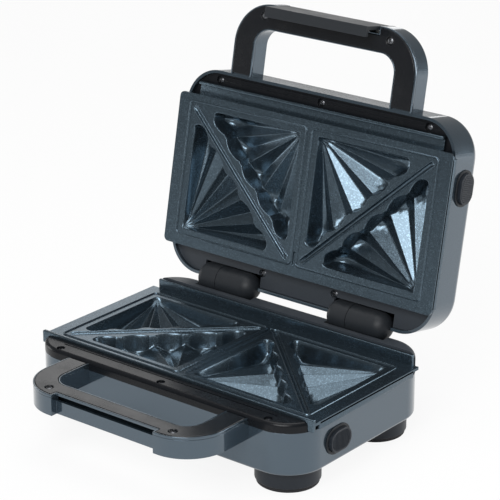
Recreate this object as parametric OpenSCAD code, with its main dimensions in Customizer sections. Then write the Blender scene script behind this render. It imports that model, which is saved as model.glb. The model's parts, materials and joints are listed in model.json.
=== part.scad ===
// Electric sandwich toaster with a hinged lid, shown open. Sizes in mm.
// +X is the right-hand side, +Y the hinge side, +Z up. Z = 0 is the plane the feet rest on.
// Lid pieces are drawn closed, as mirror images of the base, and then swung open.

/* [Body] */
// Width of both housings
body_w = 260; // [200:1:320]
// Front-to-back depth of both housings
body_d = 167; // [140:1:200]
// Corner radius of the housings seen from above
corner_r = 30; // [18:1:40]
// Wall thickness of the housings
wall = 2.4; // [1.6:0.1:4]
// Height of the feet below the housing
foot_h = 16; // [12:1:24]
// Height of the housing side walls
wall_h = 34; // [28:1:50]
// Radius of the rounded outer edge of the lid
lid_edge_r = 9; // [4:1:14]
// Radius of the rounded lower edge of the base
base_edge_r = 3; // [2.6:0.2:6]
// Distance between the wall edges of base and lid when shut
wall_gap = 19; // [15:0.5:24]

/* [Lid motion] */
// Angle that the lid stands open, drawn in the rest pose
lid_open = 101; // [0:1:105]
// Height of the hinge axis above the base wall edge
hinge_rise = 21; // [17:0.5:26]
// Inset of the hinge axis from the back face of the housings
hinge_inset = 0.5; // [0:0.1:3]

/* [Plates] */
// Sideways overhang of a plate past the housing wall
plate_over = 2; // [0:0.1:3]
// Distance from the front and back walls to the cooking faces
plate_margin = 21.5; // [19:0.5:26]
// Height of the cooking face above the wall edge
plate_rise = 7; // [5:0.5:9]
// Thickness of the cast plates
plate_t = 2.6; // [2:0.1:4]
// Height of the front drip lip of the lower plate
lip_h = 3; // [1:0.5:5]
// Height of the back flange of the lower plate
flange_h = 7.5; // [4:0.5:9]
// Depth of the wells at the diagonal
well_depth = 15.5; // [8:0.5:17]
// Depth of the wells at the square corner
well_shallow = 4; // [2:0.5:6]
// Distance from the sideways tip of a well to the side of its cell
well_end_x = 19; // [15:0.5:26]
// Distance from the other tip of a well to the front or back of its cell
well_end_y = 13; // [10:0.5:20]
// Flutes in each well
flutes = 5; // [3:1:7]

/* [Frames] */
// Thickness of the black frames
frame_t = 2.5; // [2:0.1:4]
// Height of the front band of the base frame above the wall edge
front_band_h = 7.5; // [4:0.5:8]
// Height of the back band of the base frame above the wall edge
back_band_h = 16; // [10:0.5:17]
// Depth that the lid frame lies inside the lid wall edge
lid_frame_sink = 3; // [1:0.5:5]

/* [Handles] */
// Distance from the side faces of the housings to the handles
handle_side = 43; // [34:1:55]
// Reach of the handles in front of the housing
handle_reach = 60; // [45:1:75]
// Width of the handle bar and arms
handle_bar = 20; // [14:0.5:26]
// Thickness of the handles
handle_t = 17; // [12:0.5:22]
// Thickness of the black handle cover
handle_cover_t = 2.5; // [1.6:0.1:4]
// Rise of the base handle above the wall edge
base_handle_rise = 6; // [2:0.5:8]
// Rise of the lid handle above its wall edge
lid_handle_rise = 3; // [0:0.5:5]

/* [Latch] */
// Distance from the sides of the handle to the ends of the latch
latch_side = 38.5; // [36:0.5:60]
// Angle that the latch swings outward
latch_swing = 16; // [8:1:20]

/* [Buttons] */
// Length of the plate release buttons
button_l = 24; // [16:1:30]
// Height of the plate release buttons
button_h = 17; // [10:1:20]
// Distance a button stands out of its bezel
button_out = 3.6; // [2:0.2:5]
// Travel of a button
button_travel = 3; // [1.5:0.5:3]

/* [Feet] */
// Inset of the feet from the rounded corners of the housing
foot_inset = 5.5; // [2:0.5:12]
// Thickness of the rubber foot pads
foot_pad_t = 3; // [2:0.5:5]

/* [Output] */
// Node to draw

/* [Hidden] */
$fn = 64;
eps = 0.01;
seat = 0.3;
slip = 0.15;
push_fit = 0.1;
pin_grip = 0.02;
hw = body_w / 2;
hd = body_d / 2;
z_wall0 = foot_h;
z_wall1 = foot_h + wall_h;
parting = z_wall1 + wall_gap / 2;
z_face = z_wall1 + plate_rise;
hinge_y = hd - hinge_inset;
hinge_z = z_wall1 + hinge_rise;
inner_w = body_w - 2 * wall;
inner_d = body_d - 2 * wall;
inner_r = corner_r - wall;
// plates
plate_hw = hw + plate_over;
plate_hd = hd - plate_margin;
skirt_t = 4.4;
lip_t = 3;
lip_gap = 1;
back_gap = 2.5;
back_flange_t = 2.5;
plate_front = -(plate_hd + lip_gap + lip_t);
plate_back = plate_hd + back_gap + back_flange_t;
head_clear = 0.5;
step_strip = 2.6;
step_rise = 5;
step_hw = plate_hw - 14;
flange_hw = plate_hw - 6;
plate_corner_r = 4;
// window of the frames
window_in = 12.6;
window_in_front = 5.4;
window_in_back = 8.4;
window_hw = plate_hw - window_in;
window_front = window_in_front - plate_hd;
window_back = plate_hd - window_in_back;
// wells
well_clear_x = 2.8;
well_clear_y = 3;
cell_in = 9;
cell_out = window_hw - plate_t - well_clear_x;
well_front = window_front + plate_t + well_clear_y;
well_back = window_back - plate_t - well_clear_y;
well_cut = 4;
leg_x = cell_out - cell_in - well_end_x;
leg_y = well_back - well_front - well_end_y;
scallop_r = 20;
scallop_over = 13.05;
scallop_back = 17;
flute_k = 0.62;
flute_w = 30;
flute_run = 150;
flute_back = 20;
// slanting side of a well, from its sideways tip to its other tip
slant = [well_cut - leg_x, leg_y - well_cut];
slant_l = norm(slant);
slant_e = slant / slant_l;
slant_n = [slant_e[1], -slant_e[0]];
slant_mid = [leg_x + well_cut, leg_y + well_cut] / 2;
well_reach = slant_mid * slant_n;
flute_slope = atan((well_depth - well_shallow) / well_reach);
scallop_pitch = (slant_l + scallop_over) / flutes;
groove_w = 1.6;
groove_t = 1;
groove_gap_x = 7;
groove_gap_y = 6;
groove_in = cell_in - groove_gap_x;
groove_out = cell_out + groove_gap_x;
groove_front = well_front - groove_gap_y;
groove_back = well_back + groove_gap_y;
groove_r = 4;
diag_w = 3.4;
diag_t = 1.4;
diag_ridge = 0.9;
diag_ridge_h = 0.7;
slot_in = 4;
slot_edge = 1.2;
slot_l = 12;
slot_w = 2.4;
// frames
band_gap = 0.5;
screw_side = 29;
screw_in_base = 5.5;
screw_in_lid = 8;
rear_screw_in = 14.5;
rear_screw_gap = 29.5;
hinge_side = 65;
hinge_x = hw - hinge_side;
screw_x = hw - screw_side;
screw_y_base = screw_in_base - hd;
screw_y_lid = screw_in_lid - hd;
rear_screw_x = hinge_x - rear_screw_gap;
rear_screw_y = hd - rear_screw_in;
boss_r = 4;
boss_bore = 14;
frame_screw_l = 20;
lid_screw_l = 13;
head_sink = 0.8;
front_band_e = 3;
back_band_e = 6;
rail_w = 1.2;
rail_h = 1;
rail_in = 4.5;
rim_line_in = 12;
rail_side = 26;
rail_y = rail_in - hd;
groove_y = rim_line_in - hd;
rail_hw = hw - rail_side;
// screws
screw_head_r = 3;
screw_head_h = 2;
screw_r = 1.5;
screw_hole_r = 1.6;
cross_w = 0.9;
cross_l = 3.6;
cross_t = 1.1;
// handles
handle_hw = hw - handle_side;
latch_w = 2 * (handle_hw - latch_side);
handle_front = -(hd + handle_reach);
handle_outer_r = 34;
handle_inner_r = 14;
handle_wall = 2.4;
recess_hw = latch_w / 2 + 0.6;
latch_t = 3;
recess_in = 5.6;
handle_screw_side = 27;
handle_screw_x = handle_hw - handle_screw_side;
handle_screw_in = 9.5;
handle_screw_l = 11;
handle_bolt_x = handle_hw - handle_bar / 2;
handle_bolt_l = 12;
bolt_up = 4;
bolt_boss_l = 10;
bolt_boss_r = 3.6;
cover_sink = 0.6;
catch_fit = 1.5;
// latch
latch_axis_in = 10.5;
latch_axis_up = 7;
latch_top = 1.2;
latch_hook_h = 2.6;
latch_hook_in = 5.2;
latch_pin_r = 1.5;
lug_w = 6;
lug_side = 10.5;
lug_x = latch_w / 2 - lug_side;
lug_r = 4;
lug_h = 5;
latch_fit = 0.5;
latch_inset = 0.2;
bow_x = (lug_x - lug_w / 2) / 2;
bow_w = 5;
bow_l = 12;
bow_t = 0.4;
bow_gap = 0.35;
pin_boss_w = 5;
// buttons
button_in = 19.5;
button_y = button_in + corner_r - hd;
button_up = 18;
bezel_w = 2.2;
bezel_out = 1;
finger_w = 8;
finger_fit = 0.5;
finger_reach = 8;
finger_gap = 0.6;
ramp_x0 = window_hw - 1.4;
ramp_t = 1.6;
ramp_rise = 4;
ramp_lag = 3.3;
z_ramp = z_wall1 - 2;
button_gap = 0.4;
leaf_t = 0.5;
leaf_turn = 0.6;
leaf_w = 4;
leaf_fit = 0.05;
leaf_gap = 0.3;
leaf_end = 8;
leaf_foot = 3;
leaf_bend = 6.8;
leaf_down = 8;
finger_t = 2.2;
flange_w = 1.6;
// reflectors and heaters
pan_t = 0.8;
pan_in = 1.2;
pan_hw = window_hw - pan_in;
pan_front = window_front + pan_in;
pan_back = window_back - pan_in;
pan_r = 6;
pan_drop = 2;
pan_lip = 4.2;
tube_r = 3.2;
tube_y = 26;
tube_end_left = 44.2;
tube_end_right = 26.2;
tube_left = tube_end_left - pan_hw;
tube_right = pan_hw - tube_end_right;
tube_gap = 0.6;
pin_r = 1.1;
pin_l = 12;
insul_r = 4;
insul_l = 6;
clip_x = 45;
clip_w = 8;
clip_y = 34;
clip_t = 0.6;
clip_gap = 0.35;
clip_top_gap = 0.5;
clip_face = window_hw + 1.6;
rib_t = 1.8;
rib_gap = 0.6;
z_well_low = z_face - well_depth - plate_t;
z_tube = z_well_low - tube_r - tube_gap;
z_pan = z_tube - tube_r - pan_drop;
// hinges
knuckle_r = 11.5;
knuckle_gap = 0.5;
hinge_half = 28;
lid_knuckle_l = 20;
base_knuckle_l = 2 * hinge_half - lid_knuckle_l - knuckle_gap;
lid_dome = 6;
base_dome = 11;
hinge_cut_r = knuckle_r + 0.7;
hinge_pin_r = 2.5;
hinge_fit = 0.06;
pin_short = 12;
pin_in = 4;
arm_gap = 0.1;
arm_side = 2;
arm_back = 0.4;
pedestal_w = 22;
pedestal_x0 = -5;
pedestal_sink = 3;
hinge_screw_l = 12;
screw_tip_gap = 0.6;
pedestal_d = 7.1;
pedestal_y0 = hd - wall - pedestal_d;
pedestal_z0 = z_wall1 + 1;
arm_w = 15;
arm_d = 16.7;
arm_h = 9.5;
arm_y0 = hd - wall - arm_back - arm_d;
// bottom
cover_t = 2.4;
cover_rim = 4;
ledge = 6;
vent_n = 9;
vent_side = 78;
vent_x = hw - vent_side;
vent_w = 3;
vent_l = 34;
vent_pitch = 8;
foot_r = corner_r - foot_inset;
foot_top_t = 4;
foot_side_t = 4;
foot_screw_l = 9;
pad_inset = 1.2;
pad_plug_h = 2;
pad_plug_in = 1;
pad_hole_r = 5;
// cord inlet
gland_side = 42;
gland_x = hw - gland_side;
gland_up = 15;
gland_z = foot_h + gland_up;
gland_r = 6;
gland_flange_r = 8.5;
gland_hole_r = 3.6;
gland_out = 7;
gland_flange_t = 1.6;
// thermostat, fuse and terminal block
stat_r = 8;
stat_h = 3.6;
stat_l = 24;
stat_w = 8;
tab_t = 0.8;
tab_w = 6;
tab_x = 5;
tab_h = 1;
fuse_x = 39;
fuse_r = 2;
fuse_l = 18;
lead_r = 0.6;
lead_l = 34;
block_l = 24;
block_in = 23.5;
block_y = hd - block_in;
block_w = 10;
block_h = 9;
way_pitch = 7;
way_r = 1.8;
// lid lamps
lamp_x = 12;
lamp_in = 31.5;
lamp_y = lamp_in - hd;
lamp_r = 3;
lamp_sink = 0.2;
board_up = 4;
board_z = z_wall0 + wall + board_up;
board_l = 52;
board_w = 12;
board_t = 1.4;
post_x = 21;
post_r = 2.5;

shell_col = [0.36, 0.41, 0.45];
black_col = [0.10, 0.11, 0.12];
gloss_col = [0.04, 0.04, 0.05];
plate_col = [0.18, 0.22, 0.26];
steel_col = [0.72, 0.74, 0.76];
foil_col = [0.80, 0.81, 0.82];
rubber_col = [0.13, 0.13, 0.14];
ceramic_col = [0.85, 0.84, 0.80];
lens_col = [0.75, 0.25, 0.15];
board_col = [0.12, 0.35, 0.20];

// ---------- helpers ----------

// swings the closed lid to its rest pose
module swung() {
    translate([0, hinge_y, hinge_z])
        rotate([-lid_open, 0, 0])
            translate([0, -hinge_y, -hinge_z])
                children();
}

// turns base geometry into closed lid geometry
module flipped() {
    translate([0, 0, 2 * parting])
        mirror([0, 0, 1])
            children();
}

// rest pose of a piece drawn like its base counterpart
module on_lid() {
    swung() flipped() children();
}

module both_sides() {
    for (s = [0, 1])
        mirror([s, 0, 0])
            children();
}

// rectangle with rounded corners from (x0, y0) to (x1, y1)
module round_rect(x0, y0, x1, y1, r) {
    translate([x0 + r, y0])
        square([x1 - x0 - 2 * r, y1 - y0]);
    translate([x0, y0 + r])
        square([x1 - x0, y1 - y0 - 2 * r]);
    for (x = [x0 + r, x1 - r], y = [y0 + r, y1 - r])
        translate([x, y])
            circle(r);
}

module outline(w, d, r) {
    round_rect(-w / 2, -d / 2, w / 2, d / 2, r);
}

module prism(z0, z1) {
    translate([0, 0, z0])
        linear_extrude(z1 - z0)
            children();
}

module box(x0, y0, z0, x1, y1, z1) {
    translate([x0, y0, z0])
        cube([x1 - x0, y1 - y0, z1 - z0]);
}

// section from the middle to the outer face, with a rounded lower edge
module edge_section(out, z0, z1, e) {
    translate([0, z0])
        square([out - e, z1 - z0]);
    translate([0, z0 + e])
        square([out, z1 - z0 - e]);
    translate([out - e, z0 + e])
        circle(e);
}

// tub with rounded corners and a rounded lower edge
module tub(w, d, r, z0, z1, e) {
    for (x = [-1, 1], y = [-1, 1])
        translate([x * (w / 2 - r), y * (d / 2 - r), 0])
            rotate_extrude()
                edge_section(r, z0, z1, e);
    for (s = [0, 180])
        rotate([0, 0, s])
            translate([0, d / 2 - r, 0])
                rotate([90, 0, 90])
                    translate([0, 0, -(w / 2 - r)])
                        linear_extrude(w - 2 * r)
                            edge_section(r, z0, z1, e);
    for (s = [-90, 90])
        rotate([0, 0, s])
            translate([0, w / 2 - r, 0])
                rotate([90, 0, 90])
                    translate([0, 0, -(d / 2 - r)])
                        linear_extrude(d - 2 * r)
                            edge_section(r, z0, z1, e);
    box(-(w / 2 - r), -(d / 2 - r), z0, w / 2 - r, d / 2 - r, z1);
}

// block on the housing outline with a rounded upper edge
module cap(z0, z1, e) {
    translate([0, 0, z0 + z1])
        mirror([0, 0, 1])
            tub(body_w, body_d, corner_r, z0, z1, e);
}

// cross-head screw, head top at z = 0, pointing down
module screw(l, head_r = screw_head_r, head_h = screw_head_h) {
    difference() {
        union() {
            translate([0, 0, -head_h])
                cylinder(h = head_h, r = head_r);
            translate([0, 0, -l])
                cylinder(h = l, r = screw_r);
        }
        for (a = [0, 90])
            rotate([0, 0, a])
                translate([-cross_l / 2, -cross_w / 2, -cross_t])
                    cube([cross_l, cross_w, cross_t + 1]);
    }
}

module screw_hole(l, head_r = screw_head_r + seat, depth = 1) {
    translate([0, 0, -screw_head_h])
        cylinder(h = screw_head_h + depth, r = head_r);
    translate([0, 0, -l])
        cylinder(h = l, r = screw_hole_r);
}

// stadium with its long axis along Y, extruded along X
module pill(l, h, x0, x1) {
    translate([x0, 0, 0])
        rotate([90, 0, 90])
            linear_extrude(x1 - x0) {
                for (s = [-1, 1])
                    translate([s * (l - h) / 2, 0])
                        circle(h / 2);
                translate([-(l - h) / 2, -h / 2])
                    square([l - h, h]);
            }
}

// ---------- plates ----------

// distance of a flute from the middle of the slanting side
function flute_at(i) = (i - (flutes - 1) / 2) * scallop_pitch;

// middle of a flute's bulge on the slanting side
function flute_end(i) = slant_mid + slant_e * flute_at(i);

function flute_dir(i) = atan2(flute_end(i)[1], flute_end(i)[0]);

module well_area(grow) {
    far_x = leg_x + grow;
    far_y = leg_y + grow;
    intersection() {
        translate([-grow, -grow])
            square([far_x + grow, far_y + grow]);
        union() {
            polygon([[-grow, -grow], [far_x, -grow], [far_x, well_cut + grow],
                [well_cut + grow, far_y], [-grow, far_y]]);
            for (i = [0 : flutes - 1])
                translate(flute_end(i) - slant_n * scallop_back)
                    circle(scallop_r + grow);
        }
    }
}

module flute(i, down) {
    rotate([0, 0, flute_dir(i)])
        translate([0, 0, z_face - well_shallow - down])
            rotate([0, flute_slope, 0])
                rotate([90, 0, 90])
                    translate([0, 0, -flute_back])
                        linear_extrude(flute_run)
                            polygon([[0, 0], [flute_w, flute_k * flute_w],
                                [0, 2 * flute_k * flute_w], [-flute_w, flute_k * flute_w]]);
}

module well(grow, down) {
    intersection() {
        prism(z_face - well_depth - down, down > 0 ? z_face - plate_t / 2 : z_face + 1)
            well_area(grow);
        union() {
            for (i = [0 : flutes - 1])
                flute(i, down);
            box(-grow, -grow, z_face - well_shallow - down,
                leg_x + grow, leg_y + grow, z_face + 1);
        }
    }
}

module wells(grow, down) {
    both_sides() {
        translate([cell_in, well_front, 0])
            well(grow, down);
        translate([cell_out, well_back, 0])
            rotate([0, 0, 180])
                well(grow, down);
    }
}

module at_diagonal() {
    a = atan2(groove_back - groove_front, groove_out - groove_in);
    l = norm([groove_back - groove_front, groove_out - groove_in]) - 3 * groove_r;
    both_sides()
        translate([(groove_in + groove_out) / 2, (groove_front + groove_back) / 2, 0])
            rotate([0, 0, -a])
                translate([-l / 2, 0, 0])
                    children();
}

diag_l = norm([groove_back - groove_front, groove_out - groove_in]) - 3 * groove_r;

module plate_grooves() {
    both_sides()
        prism(z_face - groove_t, z_face + 1)
            difference() {
                round_rect(groove_in, groove_front, groove_out, groove_back, groove_r);
                round_rect(groove_in + groove_w, groove_front + groove_w,
                    groove_out - groove_w, groove_back - groove_w, groove_r - groove_w);
            }
    at_diagonal()
        box(0, -diag_w / 2, z_face - diag_t, diag_l, diag_w / 2, z_face + 1);
    box(-slot_w / 2, groove_back - slot_l, z_face - diag_t, slot_w / 2, groove_back, z_face + 1);
}

module plate_ridges() {
    for (s = [-1, 1])
        at_diagonal()
            box(0, s * (diag_w + diag_ridge) / 2 - diag_ridge / 2, z_face - eps,
                diag_l, s * (diag_w + diag_ridge) / 2 + diag_ridge / 2, z_face + diag_ridge_h);
}

module plate_body() {
    prism(z_face - plate_t, z_face)
        round_rect(-plate_hw, -plate_hd, plate_hw, plate_hd, plate_corner_r);
    both_sides()
        box(plate_hw - skirt_t, -plate_hd + plate_corner_r, z_wall1 + seat,
            plate_hw, plate_hd - plate_corner_r, z_face - plate_t / 2);
    wells(plate_t, plate_t);
    plate_ridges();
}

// ribs under the plate edge that the sprung clips press on
module plate_ribs() {
    both_sides()
        box(clip_face - clip_gap - rib_t, clip_y - clip_w, z_wall1 + rib_gap,
            clip_face - clip_gap, clip_y, z_face - plate_t / 2);
}

// ramp that the button finger pushes up
module plate_lug() {
    translate([0, button_y, 0])
        rotate([90, 0, 0])
            translate([0, 0, -finger_w / 2])
                linear_extrude(finger_w)
                    polygon([[ramp_x0 - ramp_t, z_face - plate_t / 2],
                        [ramp_x0 - ramp_t, z_ramp],
                        [ramp_x0, z_ramp],
                        [ramp_x0 + ramp_rise, z_ramp + ramp_rise],
                        [ramp_x0 + ramp_rise, z_face - plate_t / 2]]);
}

module base_plate() {
    color(plate_col)
    difference() {
        union() {
            plate_body();
            plate_ribs();
            plate_lug();
            box(-plate_hw, plate_front + lip_t, z_face - plate_t,
                plate_hw, -plate_hd + plate_corner_r, z_face);
            box(-plate_hw, plate_front, z_wall1 + seat,
                plate_hw, plate_front + lip_t, z_face + lip_h);
            box(-plate_hw, plate_hd - plate_corner_r, z_face - plate_t,
                plate_hw, plate_back - back_flange_t, z_face);
            box(-flange_hw, plate_back - back_flange_t, z_wall1 + seat,
                flange_hw, plate_back, z_face + flange_h);
        }
        wells(0, 0);
        plate_grooves();
    }
}

module lid_plate() {
    z_step = z_wall1 - lid_frame_sink + seat;
    y_step = screw_y_lid + screw_head_r + head_clear;
    color(plate_col)
    on_lid()
    difference() {
        union() {
            plate_body();
            plate_ribs();
            plate_lug();
            box(-step_hw, -plate_hd, z_step, step_hw, -plate_hd + plate_t, z_face - plate_t / 2);
            box(-step_hw, y_step, z_step, step_hw, -plate_hd + plate_t, z_step + plate_t);
            box(-step_hw, y_step, z_step,
                step_hw, y_step + step_strip, z_step + step_rise);
            box(-step_hw, plate_hd - plate_t, z_step, step_hw, plate_hd, z_face - plate_t / 2);
        }
        wells(0, 0);
        plate_grooves();
    }
}

// ---------- housings ----------

module shell_boss(x, y, z1) {
    translate([x, y, z_wall0 + cover_t + 1])
        cylinder(h = z1 - z_wall0 - cover_t - 1, r = boss_r);
}

// wall openings shared by both housings
module shell_cuts(z_frame) {
    translate([0, button_y, z_wall1 - button_up + 2])
        pill(button_l + 2 * slip, button_h + 2 * slip, hw - 2 * wall, hw + 1);
    for (x = [-handle_bolt_x, handle_bolt_x])
        translate([x, -hd - 1, handle_mid(z_frame)])
            rotate([-90, 0, 0])
                cylinder(h = wall + 2, r = screw_hole_r);
}

module base_shell() {
    z_boss = z_wall1 - frame_t;
    color(shell_col)
    difference() {
        union() {
            difference() {
                tub(body_w, body_d, corner_r, z_wall0, z_wall1, base_edge_r);
                prism(z_wall0 + wall, z_wall1 + 1)
                    outline(inner_w, inner_d, inner_r);
                prism(z_wall0 - 1, z_wall0 + wall + 1)
                    outline(inner_w - 2 * ledge, inner_d - 2 * ledge, inner_r - ledge);
            }
            intersection() {
                union() {
                    for (x = [-screw_x, 0, screw_x])
                        shell_boss(x, screw_y_base, z_boss);
                }
                prism(z_wall0, z_wall1)
                    outline(inner_w + wall, inner_d + wall, inner_r + wall / 2);
            }
        }
        shell_cuts(base_handle_rise);
        for (x = [-screw_x, 0, screw_x])
            translate([x, screw_y_base, z_wall0 + wall + 3])
                cylinder(h = wall_h, r = screw_hole_r);
        translate([gland_x, hd - 2 * wall, gland_z])
            rotate([-90, 0, 0])
                cylinder(h = 3 * wall, r = gland_r + push_fit);
    }
}

module lid_shell() {
    z_boss = z_wall1 - lid_frame_sink - frame_t;
    color(shell_col)
    on_lid()
    difference() {
        union() {
            difference() {
                tub(body_w, body_d, corner_r, z_wall0, z_wall1, lid_edge_r);
                tub(inner_w, inner_d, inner_r, z_wall0 + wall, z_wall1 + 1, lid_edge_r - wall);
            }
            intersection() {
                union() {
                    for (x = [-screw_x, 0, screw_x])
                        translate([x, screw_y_lid, z_wall0 + wall / 2])
                            cylinder(h = z_boss - z_wall0 - wall / 2, r = boss_r);
                    for (x = [-rear_screw_x, rear_screw_x])
                        translate([x, rear_screw_y, z_wall0 + wall / 2])
                            cylinder(h = z_boss - z_wall0 - wall / 2, r = boss_r);
                }
                tub(inner_w + wall, inner_d + wall, inner_r + wall / 2,
                    z_wall0 + wall / 2, z_wall1, lid_edge_r - wall / 2);
            }
        }
        shell_cuts(lid_handle_rise);
        for (x = [-screw_x, 0, screw_x])
            translate([x, screw_y_lid, z_wall1 - lid_frame_sink - boss_bore])
                cylinder(h = wall_h, r = screw_hole_r);
        for (x = [-rear_screw_x, rear_screw_x])
            translate([x, rear_screw_y, z_wall1 - lid_frame_sink - boss_bore])
                cylinder(h = wall_h, r = screw_hole_r);
        hinge_clear(knuckle_gap, 2 * parting - hinge_z);
        for (x = [-lamp_x, lamp_x])
            translate([x, lamp_y, z_wall0 - 1])
                cylinder(h = wall + 2, r = lamp_r + push_fit);
    }
}

// room around both hinge barrels
module hinge_clear(extra, axis_z) {
    for (s = [-1, 1])
        translate([s * hinge_x - hinge_half - extra, hinge_y, axis_z])
            rotate([0, 90, 0])
                cylinder(h = 2 * (hinge_half + extra), r = hinge_cut_r);
}

module bottom_cover() {
    z0 = z_wall0;
    color(black_col)
    difference() {
        union() {
            prism(z0, z0 + wall + cover_t)
                outline(inner_w - 2 * (ledge + slip), inner_d - 2 * (ledge + slip),
                    inner_r - ledge - slip);
            prism(z0 + wall + slip / 2, z0 + wall + cover_t)
                outline(inner_w - 2 * slip, inner_d - 2 * slip, inner_r - slip);
        }
        prism(z0 + cover_t, z0 + wall + cover_t + 1)
            outline(inner_w - 2 * (ledge + cover_rim), inner_d - 2 * (ledge + cover_rim),
                inner_r - ledge - cover_rim);
        for (x = [-1, 1], i = [0 : vent_n - 1])
            translate([x * vent_x - vent_l / 2, (i - (vent_n - 1) / 2) * vent_pitch - vent_w / 2, z0 - 1])
                cube([vent_l, vent_w, 3 * cover_t + 1]);
        at_feet()
            translate([0, 0, z0 - 1])
                cylinder(h = 3 * cover_t, r = screw_hole_r);
        for (x = [-screw_x, 0, screw_x])
            translate([x, screw_y_base, z0 + wall])
                cylinder(h = 2 * cover_t, r = boss_r + slip);
    }
}

module at_feet() {
    for (x = [-1, 1], y = [-1, 1])
        translate([x * (hw - corner_r), y * (hd - corner_r), 0])
            children();
}

module feet() {
    color(black_col)
    at_feet()
        difference() {
            translate([0, 0, foot_pad_t])
                cylinder(h = foot_h - foot_pad_t, r = foot_r);
            translate([0, 0, foot_pad_t - pad_plug_in])
                cylinder(h = foot_h - foot_top_t - foot_pad_t + pad_plug_in,
                    r = foot_r - foot_side_t);
            cylinder(h = foot_h + 1, r = screw_hole_r);
        }
}

module foot_pads() {
    color(rubber_col)
    at_feet()
        difference() {
            union() {
                cylinder(h = foot_pad_t, r = foot_r - pad_inset);
                translate([0, 0, foot_pad_t - eps])
                    cylinder(h = pad_plug_h, r = foot_r - foot_side_t - slip);
            }
            translate([0, 0, -1])
                cylinder(h = foot_h, r = pad_hole_r);
        }
}

module foot_screws() {
    color(steel_col)
    at_feet()
        translate([0, 0, foot_h - foot_top_t - screw_head_h])
            mirror([0, 0, 1])
                screw(foot_screw_l);
}

// ---------- frames ----------

module frame_window(z0, z1) {
    box(-window_hw, window_front, z0, window_hw, window_back, z1);
}

module finger_slot(z0, z1) {
    box(window_hw - slot_in, button_y - finger_w / 2 - finger_fit, z0,
        hw - wall - slot_edge, button_y + finger_w / 2 + finger_fit, z1);
}

module base_frame() {
    z0 = z_wall1 - frame_t;
    y_front = plate_front - band_gap;
    y_back = plate_back + band_gap;
    color(gloss_col)
    difference() {
        union() {
            prism(z0, z_wall1)
                outline(inner_w - 2 * slip, inner_d - 2 * slip, inner_r - slip);
            intersection() {
                cap(z_wall1, z_wall1 + front_band_h, front_band_e);
                box(-hw, -hd, z_wall1, hw, y_front, z_wall1 + front_band_h);
            }
            intersection() {
                cap(z_wall1, z_wall1 + back_band_h, back_band_e);
                box(-hw, y_back, z_wall1, hw, hd, z_wall1 + back_band_h);
            }
        }
        frame_window(z0 - 1, z_wall1 + 1);
        finger_slot(z0 - 1, z_wall1 + 1);
        for (x = [-screw_x, 0, screw_x])
            translate([x, screw_y_base, z_wall1 + front_band_h - head_sink])
                screw_hole(front_band_h + frame_t + 2, screw_head_r + seat, 2);
        hinge_clear(knuckle_gap, hinge_z);
        pedestals(slip);
        at_hinge_screws()
            cylinder(h = hinge_screw_l, r = screw_hole_r);
        rim_groove();
    }
}

// rail line along the front band
module rim_groove() {
    box(-rail_hw, groove_y, z_wall1 + front_band_h - rail_h,
        rail_hw, groove_y + rail_w, z_wall1 + front_band_h + 1);
}

module base_frame_screws() {
    color(steel_col)
    for (x = [-screw_x, 0, screw_x])
        translate([x, screw_y_base, z_wall1 + front_band_h - head_sink])
            screw(frame_screw_l);
}

module lid_frame() {
    z1 = z_wall1 - lid_frame_sink;
    z0 = z1 - frame_t;
    color(gloss_col)
    on_lid()
    difference() {
        union() {
            prism(z0, z1)
                outline(inner_w - 2 * slip, inner_d - 2 * slip, inner_r - slip);
            box(-rail_hw, rail_y, z1 - eps, rail_hw, rail_y + rail_w, z1 + rail_h);
        }
        frame_window(z0 - 1, z1 + 1);
        finger_slot(z0 - 1, z1 + 1);
        for (x = [-screw_x, 0, screw_x])
            translate([x, screw_y_lid, z1])
                screw_hole(frame_t + 2);
        for (x = [-rear_screw_x, rear_screw_x])
            translate([x, rear_screw_y, z1])
                screw_hole(frame_t + 2);
        hinge_clear(knuckle_gap, 2 * parting - hinge_z);
    }
}

module lid_frame_screws() {
    z1 = z_wall1 - lid_frame_sink;
    color(steel_col)
    on_lid() {
        for (x = [-screw_x, 0, screw_x])
            translate([x, screw_y_lid, z1])
                screw(lid_screw_l);
        for (x = [-rear_screw_x, rear_screw_x])
            translate([x, rear_screw_y, z1])
                screw(lid_screw_l);
    }
}

// ---------- handles ----------

module handle_area(inset) {
    difference() {
        round_rect(-handle_hw + inset, handle_front + inset, handle_hw - inset, 0,
            handle_outer_r - inset);
        round_rect(-handle_hw + handle_bar - inset, handle_front + handle_bar - inset,
            handle_hw - handle_bar + inset, 0, handle_inner_r + inset);
        translate([-hw, -hd - inset])
            square([body_w, body_d]);
    }
}

module latch_recess(z0, z1) {
    box(-recess_hw, handle_front - 1, z0, recess_hw, handle_front + recess_in, z1);
}

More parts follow.
